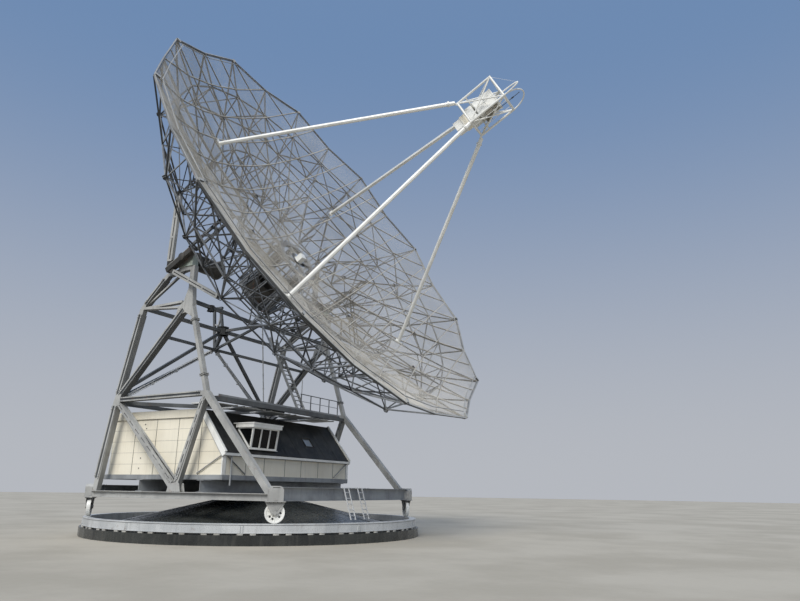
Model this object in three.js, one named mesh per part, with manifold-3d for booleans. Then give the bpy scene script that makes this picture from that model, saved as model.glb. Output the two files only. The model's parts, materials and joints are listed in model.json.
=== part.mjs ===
// A steerable radio telescope: a wire mesh dish on a turntable carriage with two lattice side towers.
// Millimetres, +Z up. The origin is the centre of the ring track on the ground.
// The dish looks along +X, tilted up; the elevation axis is parallel to Y; the near side is -Y.

import * as THREE from 'three';
import { mergeVertices } from 'three/addons/utils/BufferGeometryUtils.js';
import Module from 'manifold-3d';

const wasm = await Module();
wasm.setup();

// Clearances
const SEAT = 0.3;
const PIVOT_PLAY = 8;
// A round of few sides turns freely in another when the hole's flats clear the pin's corners
const roundHole = (pinRadius, sides) => (pinRadius + 0.4) / Math.cos(Math.PI / sides);

// Fixed base
const PLINTH_RADIUS = 8400;
const PLINTH_TOP = 410;
const COVER_EDGE_RADIUS = 7600;
const COVER_MID_RADIUS = 6100;
const COVER_MID_Z = 750;
const COVER_TOP_RADIUS = 1300;
const COVER_TOP_Z = 1850;
const RING_OUTER = 8260;
const RING_INNER = 7950;
const RING_BOTTOM = 470;
const RING_TOP = 850;
const RING_SIDES = 48;
const RING_SEGMENTS = 2;
const PIVOT_RADIUS = 350;
const PIVOT_TOP = 2300;
const PIVOT_FLANGE = 120;
const PIVOT_FLANGE_THICK = 60;
const RAIL_SEAT_INSET = 60;

// Corner wheels and their housings
const WHEEL_TRACK_RADIUS = 8105;
const WHEEL_RADIUS = 415;
const WHEEL_WIDTH = 150;
const AXLE_RADIUS = 50;
const AXLE_SIDES = 24;
const AXLE_Z = RING_TOP + SEAT + WHEEL_RADIUS;
const FORK_OFFSET = 110;
const FORK_THICK = 30;
const HOUSING_HALF_WIDTH = 310;
const HOUSING_HALF_DEPTH = 250;
const HOUSING_BOTTOM = 1700;
const HOUSING_TOP = 2340;
const HOUSING_CHAMFER = 130;
const FORK_TOP_SPREAD = 100;
const FORK_FOOT_HALF = 110;
const FORK_FOOT_DROP = 90;
const FLANGE_WIDTH = 520;
const FLANGE_THICK = 30;

// Carriage beams
const BEAM_OFFSET = 5800;
const BEAM_WIDTH = 300;
const BEAM_BOTTOM = 1730;
const SIDE_BEAM_TOP = 2030;
const FRONT_BEAM_TOP = 2300;
const BEAM_END = 5500;
const GIRDER_X = [-2500, 1390];
const GIRDER_WIDTH = 400;
const GIRDER_TOP = 2570;
const GIRDER_END = 5680;
const FLANGE = 30;
const BEAM_WEB = 24;
const LINK_WIDTH = 500;
const LINK_PLATE = 40;
const DRUM_WALL = 150;
const DRUM_GAP = 130;

// Side towers: lattice nodes in the plane of the tower, as x and z
const TOWER_PLANE = 5750;
const TOWER_DEPTH = 260;
const TOWER = {
  rearFoot: [-5350, 2030 + SEAT],
  midFoot: [0, 2030 + SEAT],
  frontFoot: [5480, 2030 + SEAT],
  rearMid: [-4600, 6400],
  frontMid: [1400, 6450],
  rearHigh: [-3500, 11000],
  rearTop: [-1880, 12600],
  gusset: [-300, 10950],
  columnFoot: [-70, 10800],
  tieHigh: [-700, 11060],
  tieLow: [-900, 10790],
};
const TOWER_LEGS = [
  ['rearFoot', 'rearMid', 300],
  ['rearMid', 'rearHigh', 260],
  ['rearHigh', 'rearTop', 220],
  ['frontFoot', 'frontMid', 290],
  ['frontMid', 'columnFoot', 180],
];
const TOWER_BRACES = [
  ['midFoot', 'rearMid', 220],
  ['midFoot', 'frontMid', 220],
  ['rearMid', 'frontMid', 220],
  ['rearMid', 'gusset', 240],
  ['rearHigh', 'tieHigh', 110],
  ['rearHigh', 'tieLow', 90],
];
const COLUMN_X = [-350, -70];
const COLUMN_GUSSET = {
  lower: [[-1050, 10330], [-400, 10480], [-20, 10250], [30, 10800], [COLUMN_X[1], 11740]],
  upper: [[COLUMN_X[0], 11700], [-600, 11030], [-930, 10800]],
};
const HEAD_DEPTH = 200;
const STAY_WIDTH = 90;
const REAR_FRAME_BAR = 180;
const REAR_FRAME_RISE = 50;
const REAR_FRAME_LOW = [-4000, 10000];
const REAR_FRAME_TIE = [-1750, 9400];
const REAR_FRAME_SEATS = { diagonal: 320, light: 60 };
const REAR_FRAME_DIAGONAL = 160;
const REAR_FRAME_TIE_BAR = 140;
const REAR_FRAME_LIGHT_BAR = 120;
const UPPER_TIE_MIDDLE = [-750, 11120];
const UPPER_TIE_END = [-300, 11120];
const UPPER_TIE_BAR = 170;
const DRIVE_POST_TOPS = [[-4300, 12500], [-3800, 12500]];
const DRIVE_POST_BAR = 140;
const MID_FRAME_Z = 6260;
const MID_FRAME_DEPTH = 180;
const MID_FRAME_WIDTHS = { rear: 200, front: 220, spine: 160, diagonal: 140 };
const PLATFORM_WIDTH = 1010;
const PLATFORM_OVERHANG = 110;
const PLATFORM_HALF_LENGTH = 5100;
const PLATFORM_THICK = 50;
const RAIL_BAR = 40;
const PLATFORM_POSTS = [1300, 2200, 3100, 4000, 4900];
const PLATFORM_RAIL = 950;

// Elevation axis and dish
const DISH_ELEVATION = THREE.MathUtils.degToRad(29.8);
const VERTEX = new THREE.Vector3(1749, 0, 14663);
const AXIS_BEHIND_VERTEX = 2790;
const AXIS_X = VERTEX.x - AXIS_BEHIND_VERTEX * Math.cos(DISH_ELEVATION);
const AXIS_Z = VERTEX.z - AXIS_BEHIND_VERTEX * Math.sin(DISH_ELEVATION);
const TRUNNION_RADIUS = 110;
const TRUNNION_SIDES = 32;
const BEARING_HALF = 480;
const BEARING_DROP = 420;
const BEARING_DEPTH = 380;
const BEARING_CROWN_HALF = 260;
const BEARING_CROWN = 360;
const BEARING_SHOULDER = 100;
const FOCAL_LENGTH = 12000;
const RIM_RADIUS = 12500;
const BAYS = 12;
const BAY = (2 * Math.PI) / BAYS;
const SKINS = 4;
const RIM_MID_RADIUS = RIM_RADIUS * Math.cos(BAY / 2);
const SKIN_THICK = 30;
const SKIN_BAR_HALF = 60;
const SKIN_OPENINGS = [[0, 0], [1, 2], [2, 2], [2, 1], [2, 1], [2, 1]];
const CHORD_WIDTH = 100;
const CHORD_DEPTH = 110;
const WEB = 70;
const RIB_WIDTH = 80;
const HUB_RADIUS = 1350;
const HUB_BACK = -3200;
const TRUSS_RADII = [HUB_RADIUS + CHORD_DEPTH / 2 + SEAT, 4300, 7050, 8750, 10400];
const GUSSET_HALF = 90;
const GUSSET_DROP = 120;
const GUSSET_RISE = 40;
const GUSSET_REACH = 160;
const RING_BAR = 90;
const RIM_BAR = 100;
const PURLIN = 80;
const BACK_CHORD = [
  [TRUSS_RADII[0], HUB_BACK],
  [2900, -2900],
  [7050, -1620],
  [10400, 800],
];
const RING_NODES = [BACK_CHORD[2], BACK_CHORD[3]];
const SKIN_INNER = 500;
const HUB_WALL = 250;
const HUB_RING_HALF = 100;
const HUB_POST = 180;
const HUB_CROSS = 160;
const HUB_DROP = 10;

// Cradle beams beside the towers, in the dish's own frame
const CRADLE_OFFSET = 6140;
const CRADLE_WIDTH = 220;
const CRADLE_DEPTH = 260;
const CRADLE_POST_HALF = 260;
const CRADLE_BACK = -3950;
const CRADLE_SEAT = -2100;
const CRADLE_POST_FOOT = CRADLE_SEAT + SEAT;
const CRADLE_FOOT = 150;
const UPPER_PROP = 320;
const LOWER_PROP = 220;
const PROP_THICK = 120;
const PIN_INNER = TOWER_PLANE - 210;

// Focus cage and struts, in the dish's own frame
const STRUT_FOOT_RADIUS = 7457;
const STRUT_RADIUS = 110;
const CAGE_BACK = 12087;
const CAGE_LENGTH = 2162;
const CAGE_HALF = 1113 / Math.SQRT2;
const CAGE_POST = 110;
const CAGE_BRACE = 60;
const GUARD_BAR = 50;
const GUARD_STEPS = 8;
const GUARD_REACHES = [880, 900];
const GUARD_LOOP_WIDTH = 220;
const FOOT_HALF_LENGTH = 200;
const FOOT_HALF_WIDTH = 130;
const FOOT_RISE = 90;
const CAP_THICK = 50;
const CAP_WIDTH = 180;
const CAP_REACH = [-120, 60];
const SPIDER_RISE = 500;
const SPIDER_BAR = 80;
const RECEIVER_HALF = 420;
const RECEIVER_LENGTH = 1150;
const FEED_BOX_HALF = 310;
const FEED_BOX_BACK = 330;
const FEED_HORN_HALF = 270;
const FEED_HORN_BACK = 764;
const VERTEX_PLATE_HALF = 200;
const VERTEX_BOX_HALF = 170;
const VERTEX_BOX_HEIGHT = 420;

// Cabin
const CABIN_DECK_REAR = -5850;
const CABIN_REAR = -5400;
const CABIN_FRONT = 2160;
const CABIN_HALF_WIDTH = 5150;
const FLOOR_BOTTOM = GIRDER_TOP + SEAT;
const FLOOR_TOP = 2790;
const WALL = 100;
const EAVE_Z = 3800;
const RIDGE_X = 660;
const ROOF_Z = 5680;
const ROOF_THICK = 120;
const SLOPE_OFFSET = 130;
const EAVE_OVERHANG = 100;
const VERGE = 60;
const DOOR_HALF = 450;
const DOOR_HEIGHT = 2050;
const DOOR_INSET = [25, 75];
const LIGHT_Y = [1650, 2350];
const LIGHT_Z = [4450, 4900];
const LIGHT_INSET = [90, 40];
const DORMER_Y = [-3400, -1400];
const DORMER_FRONT = 2200;
const DORMER_BOTTOM = 4000;
const DORMER_TOP = 5200;
const DORMER_WALL = 60;
const DORMER_SILL = 80;
const DORMER_HEAD = 110;
const DORMER_PANES = 4;
const DORMER_BAR = 80;
const DORMER_LID = [-20, 100];
const DORMER_LID_SIDE = 120;
const DORMER_LID_FRONT = 220;
const DORMER_GLASS = 12;

// Ladders on the front beam
const LADDER_Y = [-1000, 200];
const LADDER_WIDTH = 400;
const LADDER_LEAN = [500, 40];
const LADDER_RUNGS = 5;
const LADDER_RAIL = 50;
const LADDER_BAR = 30;
const HOOK_REACH = 140;

// A bound beyond every part, for cutting blocks
const FAR = 20000;

const v = (x, y, z) => new THREE.Vector3(x, y, z);

const MATERIALS = {
  steel: new THREE.MeshStandardMaterial({ color: 0xa3a8ab, roughness: 0.55, metalness: 0.3 }),
  beam: new THREE.MeshStandardMaterial({ color: 0x7f868b, roughness: 0.6, metalness: 0.3 }),
  ring: new THREE.MeshStandardMaterial({ color: 0xb4b8ba, roughness: 0.45, metalness: 0.5 }),
  white: new THREE.MeshStandardMaterial({ color: 0xe9e9e4, roughness: 0.45, metalness: 0.0 }),
  mesh: new THREE.MeshStandardMaterial({ color: 0xb9bcbd, roughness: 0.4, metalness: 0.7 }),
  black: new THREE.MeshStandardMaterial({ color: 0x1d1f20, roughness: 0.8, metalness: 0.0 }),
  cream: new THREE.MeshStandardMaterial({ color: 0xe8e1cd, roughness: 0.6, metalness: 0.0 }),
  bearing: new THREE.MeshStandardMaterial({ color: 0x9aa79f, roughness: 0.55, metalness: 0.2 }),
  glass: new THREE.MeshStandardMaterial({ color: 0x20262b, roughness: 0.1, metalness: 0.0 }),
};

// Solids

function solidFrom(positions, index) {
  let volume = 0;
  for (let i = 0; i < index.length; i += 3) {
    const [a, b, c] = [0, 1, 2].map((k) => positions[index[i + k]]);
    volume += a.dot(b.clone().cross(c));
  }
  const triangles = volume > 0 ? index : [...index].reverse();
  return new wasm.Manifold(new wasm.Mesh({
    numProp: 3,
    vertProperties: Float32Array.from(positions.flatMap((p) => [p.x, p.y, p.z])),
    triVerts: Uint32Array.from(triangles),
  }));
}

function solidOf(geometry) {
  const bare = geometry.clone();
  bare.deleteAttribute('normal');
  bare.deleteAttribute('uv');
  const merged = mergeVertices(bare, 1e-3);
  return new wasm.Manifold(new wasm.Mesh({
    numProp: 3,
    vertProperties: Float32Array.from(merged.attributes.position.array),
    triVerts: Uint32Array.from(merged.index.array),
  }));
}

// A solid between two convex rings with the same number of points
function loft(ringA, ringB) {
  const n = ringA.length;
  const index = [];
  for (let i = 1; i < n - 1; i += 1) {
    index.push(0, i + 1, i);
    index.push(n, n + i, n + i + 1);
  }
  for (let i = 0; i < n; i += 1) {
    const j = (i + 1) % n;
    index.push(i, j, n + j);
    index.push(i, n + j, n + i);
  }
  return solidFrom([...ringA, ...ringB], index);
}

// A bar whose end sections are parallelograms: top centre line a to b, width along side, depth along down
function chord(a, b, side, down) {
  const half = side.clone().multiplyScalar(0.5);
  const ring = (p) => [
    p.clone().sub(half),
    p.clone().add(half),
    p.clone().add(half).add(down),
    p.clone().sub(half).add(down),
  ];
  return loft(ring(a), ring(b));
}

// A square-cut bar centred on the line a to b, thick along the normal and wide across it
function bar(a, b, wide, thick, normal) {
  const along = b.clone().sub(a).normalize();
  const across = along.clone().cross(normal).normalize();
  const up = across.clone().cross(along).normalize();
  const section = [[-1, -1], [1, -1], [1, 1], [-1, 1]].map(([s, t]) => across.clone()
    .multiplyScalar((s * wide) / 2)
    .addScaledVector(up, (t * thick) / 2));
  return loft(section.map((p) => p.clone().add(a)), section.map((p) => p.clone().add(b)));
}

function tube(a, b, radius, sides) {
  const along = b.clone().sub(a).normalize();
  const across = along.clone().cross(Math.abs(along.z) < 0.9 ? v(0, 0, 1) : v(1, 0, 0)).normalize();
  const up = across.clone().cross(along);
  const section = Array.from({ length: sides }, (_, i) => {
    const angle = (2 * Math.PI * (i + 0.5)) / sides;
    const [c, s] = [Math.cos(angle), Math.sin(angle)];
    return across.clone().multiplyScalar(radius * c).addScaledVector(up, radius * s);
  });
  return loft(section.map((p) => p.clone().add(a)), section.map((p) => p.clone().add(b)));
}

function box(low, high) {
  const geometry = new THREE.BoxGeometry(high.x - low.x, high.y - low.y, high.z - low.z);
  geometry.translate((low.x + high.x) / 2, (low.y + high.y) / 2, (low.z + high.z) / 2);
  return solidOf(geometry);
}

function outline(points, holes = []) {
  const shape = new THREE.Shape(points.map(([s, t]) => new THREE.Vector2(s, t)));
  shape.holes = holes.map((hole) => new THREE.Path(hole.map(([s, t]) => new THREE.Vector2(s, t))));
  return shape;
}

// A flat plate: its outline lies in the XZ plane and it is thick along Y from y0 to y1
function plateXZ(points, y0, y1, holes = []) {
  const geometry = new THREE.ExtrudeGeometry(outline(points, holes), { depth: y1 - y0, bevelEnabled: false });
  geometry.rotateX(Math.PI / 2);
  geometry.translate(0, y1, 0);
  return solidOf(geometry);
}

// A flat plate: its outline lies in the YZ plane and it is thick along X from x0 to x1
function plateYZ(points, x0, x1, holes = []) {
  const geometry = new THREE.ExtrudeGeometry(outline(points, holes), { depth: x1 - x0, bevelEnabled: false });
  geometry.rotateX(Math.PI / 2);
  geometry.rotateZ(Math.PI / 2);
  geometry.translate(x0, 0, 0);
  return solidOf(geometry);
}

function lathe(profile, segments) {
  const geometry = new THREE.LatheGeometry(profile.map(([r, z]) => new THREE.Vector2(r, z)), segments);
  geometry.rotateX(Math.PI / 2);
  return solidOf(geometry);
}

const union = (solids) => solids.reduce((all, next) => all.add(next));

function addPart(parent, name, material, solid) {
  const data = solid.getMesh();
  const geometry = new THREE.BufferGeometry();
  geometry.setAttribute('position', new THREE.BufferAttribute(Float32Array.from(data.vertProperties), 3));
  geometry.setIndex(new THREE.BufferAttribute(Uint32Array.from(data.triVerts), 1));
  geometry.computeVertexNormals();
  const mesh = new THREE.Mesh(geometry, material);
  mesh.name = name;
  parent.add(mesh);
}

// An I section from low to high along one axis, as an outline of width and height about the web
function iSection(width, bottom, top, flange, web) {
  const w = width / 2;
  const t = web / 2;
  return [
    [-w, bottom], [w, bottom], [w, bottom + flange], [t, bottom + flange],
    [t, top - flange], [w, top - flange], [w, top], [-w, top],
    [-w, top - flange], [-t, top - flange], [-t, bottom + flange], [-w, bottom + flange],
  ];
}

// Fixed base

function makeFoundation(parent) {
  const seatInner = RING_INNER + RAIL_SEAT_INSET;
  const seatOuter = RING_OUTER - RAIL_SEAT_INSET;
  addPart(parent, 'foundation', MATERIALS.black, lathe([
    [0, 0],
    [PLINTH_RADIUS, 0],
    [PLINTH_RADIUS, PLINTH_TOP],
    [seatOuter, PLINTH_TOP],
    [seatOuter, RING_BOTTOM - SEAT],
    [seatInner, RING_BOTTOM - SEAT],
    [seatInner, PLINTH_TOP],
    [COVER_EDGE_RADIUS, PLINTH_TOP],
    [COVER_MID_RADIUS, COVER_MID_Z],
    [COVER_TOP_RADIUS, COVER_TOP_Z],
    [0, COVER_TOP_Z],
  ], RING_SIDES));
}

function makeTrackRing(parent) {
  const steps = RING_SIDES / RING_SEGMENTS;
  const section = [
    [RING_INNER, RING_BOTTOM],
    [RING_OUTER, RING_BOTTOM],
    [RING_OUTER, RING_TOP],
    [RING_INNER, RING_TOP],
  ];
  for (let segment = 0; segment < RING_SEGMENTS; segment += 1) {
    const positions = [];
    const index = [];
    const n = section.length;
    for (let step = 0; step <= steps; step += 1) {
      const angle = ((segment * steps + step) * 2 * Math.PI) / RING_SIDES;
      const shift = step === steps ? SEAT : 0;
      section.forEach(([r, z]) => positions.push(v(
        r * Math.cos(angle) + shift * Math.sin(angle),
        r * Math.sin(angle) - shift * Math.cos(angle),
        z,
      )));
    }
    for (let step = 0; step < steps; step += 1) {
      for (let i = 0; i < n; i += 1) {
        const a = step * n + i;
        const b = step * n + ((i + 1) % n);
        index.push(a, a + n, b + n);
        index.push(a, b + n, b);
      }
    }
    const last = steps * n;
    index.push(0, 1, 2, 0, 2, 3);
    index.push(last, last + 2, last + 1, last, last + 3, last + 2);
    addPart(parent, `track_ring_${segment + 1}`, MATERIALS.ring, solidFrom(positions, index));
  }
}

function makeCentrePivot(parent) {
  addPart(parent, 'centre_pivot', MATERIALS.beam, lathe([
    [0, COVER_TOP_Z + SEAT],
    [PIVOT_RADIUS + PIVOT_FLANGE, COVER_TOP_Z + SEAT],
    [PIVOT_RADIUS + PIVOT_FLANGE, COVER_TOP_Z + PIVOT_FLANGE_THICK],
    [PIVOT_RADIUS, COVER_TOP_Z + PIVOT_FLANGE_THICK],
    [PIVOT_RADIUS, PIVOT_TOP],
    [0, PIVOT_TOP],
  ], 24));
}

// Carriage

const CORNERS = [
  { name: '1', x: 1, y: -1 },
  { name: '2', x: -1, y: -1 },
  { name: '3', x: -1, y: 1 },
  { name: '4', x: 1, y: 1 },
];

function cornerFrame(corner) {
  const out = v(corner.x, corner.y, 0).normalize();
  return {
    out,
    side: v(-out.y, out.x, 0),
    centre: out.clone().multiplyScalar(WHEEL_TRACK_RADIUS),
  };
}

function housingBlock(corner, grow) {
  const { out, side, centre } = cornerFrame(corner);
  const at = (s, z) => centre.clone().addScaledVector(side, s).setZ(z);
  const w = HOUSING_HALF_WIDTH + grow;
  const ring = [
    at(-w, HOUSING_BOTTOM),
    at(w, HOUSING_BOTTOM),
    at(w, HOUSING_TOP - HOUSING_CHAMFER),
    at(w - HOUSING_CHAMFER, HOUSING_TOP + grow),
    at(-w + HOUSING_CHAMFER, HOUSING_TOP + grow),
    at(-w, HOUSING_TOP - HOUSING_CHAMFER),
  ];
  const push = (distance) => ring.map((p) => p.clone().addScaledVector(out, distance));
  return loft(push(-HOUSING_HALF_DEPTH - grow), push(HOUSING_HALF_DEPTH + grow));
}

function wheelFork(corner) {
  const { out, side, centre } = cornerFrame(corner);
  const at = (s, z) => centre.clone().addScaledVector(side, s).setZ(z);
  const halfTop = HOUSING_HALF_WIDTH + FORK_TOP_SPREAD;
  const top = HOUSING_BOTTOM + FLANGE_THICK;
  const middle = HOUSING_BOTTOM + FLANGE_THICK / 2;
  const plates = [-1, 1].map((end) => {
    const ring = [
      at(-FORK_FOOT_HALF, AXLE_Z - FORK_FOOT_DROP),
      at(FORK_FOOT_HALF, AXLE_Z - FORK_FOOT_DROP),
      at(halfTop, HOUSING_BOTTOM),
      at(halfTop, top),
      at(-halfTop, top),
      at(-halfTop, HOUSING_BOTTOM),
    ];
    const push = (distance) => ring.map((p) => p.clone().addScaledVector(out, end * distance));
    return loft(push(FORK_OFFSET), push(FORK_OFFSET + FORK_THICK));
  });
  const flange = bar(at(-halfTop, middle), at(halfTop, middle), FLANGE_WIDTH, FLANGE_THICK, v(0, 0, 1));
  const axleCentre = centre.clone().setZ(AXLE_Z);
  const reach = FORK_OFFSET + FORK_THICK + 40;
  const axle = tube(
    axleCentre.clone().addScaledVector(out, -reach),
    axleCentre.clone().addScaledVector(out, reach),
    AXLE_RADIUS,
    AXLE_SIDES,
  );
  return union([...plates, flange, axle]);
}

function makeSideBeam(parent, name, sign) {
  const y = sign * BEAM_OFFSET;
  const shape = iSection(BEAM_WIDTH, BEAM_BOTTOM, SIDE_BEAM_TOP, FLANGE, BEAM_WEB)
    .map(([s, z]) => [y + s, z]);
  const beam = plateYZ(shape, -BEAM_END, BEAM_END);
  const corners = CORNERS.filter((corner) => corner.y === sign);
  const parts = corners.flatMap((corner) => [housingBlock(corner, 0), wheelFork(corner)]);
  addPart(parent, name, MATERIALS.steel, union([beam, ...parts]));
}

function makeCrossBeam(parent, name, sign) {
  const x = sign * BEAM_OFFSET;
  const shape = iSection(BEAM_WIDTH, BEAM_BOTTOM, FRONT_BEAM_TOP, FLANGE, BEAM_WEB)
    .map(([s, z]) => [x + s, z]);
  let beam = plateXZ(shape, -BEAM_END, BEAM_END);
  CORNERS.filter((corner) => corner.x === sign).forEach((corner) => {
    beam = beam.subtract(housingBlock(corner, SEAT));
  });
  const sideBeamZone = (y) => box(
    v(-BEAM_END - SEAT, y - BEAM_WIDTH / 2 - SEAT, BEAM_BOTTOM - 1),
    v(BEAM_END + SEAT, y + BEAM_WIDTH / 2 + SEAT, SIDE_BEAM_TOP + SEAT),
  );
  beam = beam.subtract(sideBeamZone(BEAM_OFFSET)).subtract(sideBeamZone(-BEAM_OFFSET));
  addPart(parent, name, MATERIALS.beam, beam.decompose().sort((a, b) => b.volume() - a.volume())[0]);
}

function makeCrossGirders(parent) {
  const bottom = SIDE_BEAM_TOP + SEAT;
  const girders = GIRDER_X.map((x) => plateXZ(
    iSection(GIRDER_WIDTH, bottom, GIRDER_TOP, FLANGE, BEAM_WEB).map(([s, z]) => [x + s, z]),
    -GIRDER_END,
    GIRDER_END,
  ));
  const link = plateYZ(
    iSection(LINK_WIDTH, bottom, GIRDER_TOP, LINK_PLATE, LINK_PLATE),
    GIRDER_X[0],
    GIRDER_X[1],
  );
  const drum = lathe([
    [0, COVER_TOP_Z + DRUM_GAP],
    [PIVOT_RADIUS + DRUM_WALL, COVER_TOP_Z + DRUM_GAP],
    [PIVOT_RADIUS + DRUM_WALL, GIRDER_TOP],
    [0, GIRDER_TOP],
  ], 16);
  const bore = lathe([
    [0, COVER_TOP_Z],
    [PIVOT_RADIUS + PIVOT_PLAY, COVER_TOP_Z],
    [PIVOT_RADIUS + PIVOT_PLAY, PIVOT_TOP + 10],
    [0, PIVOT_TOP + 10],
  ], 24);
  addPart(parent, 'cross_girders', MATERIALS.beam, union([...girders, link, drum]).subtract(bore));
}

function towerBar(plane, from, to, wide, thick) {
  return bar(v(from[0], plane, from[1]), v(to[0], plane, to[1]), wide, thick, v(0, 1, 0));
}

function makeTower(parent, name, sign) {
  const plane = sign * TOWER_PLANE;
  const bars = [...TOWER_LEGS, ...TOWER_BRACES].map(
    ([a, b, wide]) => towerBar(plane, TOWER[a], TOWER[b], wide, TOWER_DEPTH),
  );
  const seatZ = AXIS_Z - BEARING_DROP;
  const y0 = plane - TOWER_DEPTH / 2;
  const y1 = plane + TOWER_DEPTH / 2;
  const column = plateXZ([
    ...COLUMN_GUSSET.lower,
    [COLUMN_X[1], seatZ],
    [AXIS_X - BEARING_HALF, seatZ],
    [AXIS_X - BEARING_HALF, seatZ - HEAD_DEPTH],
    [COLUMN_X[0], seatZ - HEAD_DEPTH],
    ...COLUMN_GUSSET.upper,
  ], y0, y1);
  const head = [AXIS_X, seatZ - HEAD_DEPTH / 2];
  const headBar = towerBar(plane, TOWER.rearTop, head, HEAD_DEPTH, TOWER_DEPTH);
  const stay = towerBar(plane, TOWER.rearHigh, head, STAY_WIDTH, TOWER_DEPTH / 2);
  const floorCut = box(v(-FAR, -FAR, 0), v(FAR, FAR, SIDE_BEAM_TOP + SEAT));
  let tower = union([...bars, column, headBar, stay]).subtract(floorCut);
  CORNERS.filter((corner) => corner.y === sign).forEach((corner) => {
    tower = tower.subtract(housingBlock(corner, SEAT));
  });
  addPart(parent, name, MATERIALS.steel, tower);
}

function makeBearing(parent, name, sign) {
  const plane = sign * TOWER_PLANE;
  const y0 = plane - BEARING_DEPTH / 2;
  const y1 = plane + BEARING_DEPTH / 2;
  const bottom = AXIS_Z - BEARING_DROP + SEAT;
  const block = plateXZ([
    [AXIS_X - BEARING_HALF, bottom],
    [AXIS_X + BEARING_HALF, bottom],
    [AXIS_X + BEARING_HALF, AXIS_Z + BEARING_SHOULDER],
    [AXIS_X + BEARING_CROWN_HALF, AXIS_Z + BEARING_CROWN],
    [AXIS_X - BEARING_CROWN_HALF, AXIS_Z + BEARING_CROWN],
    [AXIS_X - BEARING_HALF, AXIS_Z + BEARING_SHOULDER],
  ], y0, y1);
  const bore = tube(
    v(AXIS_X, plane - BEARING_DEPTH, AXIS_Z),
    v(AXIS_X, plane + BEARING_DEPTH, AXIS_Z),
    roundHole(TRUNNION_RADIUS, TRUNNION_SIDES),
    TRUNNION_SIDES,
  );
  addPart(parent, name, MATERIALS.bearing, block.subtract(bore));
}

const TOWER_INNER = TOWER_PLANE - TOWER_DEPTH / 2 - SEAT;

function makeRearFrame(parent) {
  const high = (y) => v(TOWER.rearHigh[0], y, TOWER.rearHigh[1] + REAR_FRAME_RISE);
  const mid = (y, rise) => v(TOWER.rearMid[0], y, TOWER.rearMid[1] + rise);
  const size = REAR_FRAME_BAR;
  const reach = TOWER_INNER + size;
  const beam = bar(high(-reach), high(reach), size, size, v(0, 0, 1));
  const crown = high(0);
  const lowNode = v(REAR_FRAME_LOW[0], 0, REAR_FRAME_LOW[1]);
  const drop = bar(crown, lowNode, size, size, v(1, 0, 0));
  const square = (from, to, wide, up) => bar(from, to, wide, wide, up);
  const middle = v(UPPER_TIE_MIDDLE[0], 0, UPPER_TIE_MIDDLE[1]);
  const sides = [-1, 1].flatMap((sign) => {
    const { diagonal, light } = REAR_FRAME_SEATS;
    const tie = v(REAR_FRAME_TIE[0], sign * reach, REAR_FRAME_TIE[1]);
    const upperEnd = v(UPPER_TIE_END[0], sign * reach, UPPER_TIE_END[1]);
    return [
      square(mid(sign * reach, diagonal), crown, REAR_FRAME_DIAGONAL, v(1, 0, 0)),
      square(mid(sign * reach, light), lowNode, REAR_FRAME_LIGHT_BAR, v(1, 0, 0)),
      square(lowNode, tie, REAR_FRAME_TIE_BAR, v(0, 0, 1)),
      square(middle, upperEnd, UPPER_TIE_BAR, v(0, 0, 1)),
    ];
  });
  const across = v(0, 1, 0);
  const [rearTop, frontTop] = DRIVE_POST_TOPS.map(([x, z]) => v(x, 0, z));
  const centre = [
    square(crown, middle, REAR_FRAME_TIE_BAR, across),
    square(lowNode, middle, REAR_FRAME_LIGHT_BAR, across),
    square(lowNode, rearTop, DRIVE_POST_BAR, across),
    square(crown, frontTop, DRIVE_POST_BAR, across),
    square(
      rearTop.clone().setX(rearTop.x - DRIVE_POST_BAR),
      frontTop.clone().setX(frontTop.x + DRIVE_POST_BAR),
      DRIVE_POST_BAR,
      across,
    ),
  ];
  const keep = box(v(-FAR, -TOWER_INNER, 0), v(FAR, TOWER_INNER, FAR));
  const frame = union([beam, drop, ...sides, ...centre]);
  addPart(parent, 'rear_frame', MATERIALS.steel, frame.intersect(keep));
}

function makeMidFrame(parent) {
  const y = TOWER_INNER + MID_FRAME_DEPTH;
  const rear = (side) => v(TOWER.rearMid[0], side, MID_FRAME_Z);
  const front = (side) => v(TOWER.frontMid[0], side, MID_FRAME_Z);
  const line = (a, b, wide) => bar(a, b, wide, MID_FRAME_DEPTH, v(0, 0, 1));
  const parts = [
    line(rear(-y), rear(y), MID_FRAME_WIDTHS.rear),
    line(front(-y), front(y), MID_FRAME_WIDTHS.front),
    line(rear(0), front(0), MID_FRAME_WIDTHS.spine),
    line(rear(-y), front(0), MID_FRAME_WIDTHS.diagonal),
    line(rear(y), front(0), MID_FRAME_WIDTHS.diagonal),
  ];
  const keep = box(v(-FAR, -TOWER_INNER, 0), v(FAR, TOWER_INNER, FAR));
  addPart(parent, 'mid_frame', MATERIALS.steel, union(parts).intersect(keep));
}

function makePlatform(parent) {
  const base = MID_FRAME_Z + MID_FRAME_DEPTH / 2 + SEAT;
  const top = base + PLATFORM_THICK;
  const x1 = TOWER.frontMid[0] + PLATFORM_OVERHANG;
  const railX = [x1 - 1.5 * RAIL_BAR, x1 - 0.5 * RAIL_BAR];
  const railTop = base + PLATFORM_RAIL;
  const end = PLATFORM_HALF_LENGTH;
  const deck = box(v(x1 - PLATFORM_WIDTH, -end, base), v(x1, end, top));
  const postTop = railTop - RAIL_BAR / 2;
  const posts = PLATFORM_POSTS.map((y) => box(v(railX[0], y, top - 10), v(railX[1], y + RAIL_BAR, postTop)));
  const ends = [PLATFORM_POSTS[0] - RAIL_BAR, PLATFORM_POSTS[PLATFORM_POSTS.length - 1] + 2 * RAIL_BAR];
  const rail = box(v(railX[0] - 5, ends[0], railTop - RAIL_BAR), v(railX[1] + 5, ends[1], railTop));
  addPart(parent, 'service_platform', MATERIALS.beam, union([deck, ...posts, rail]));
}

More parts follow.
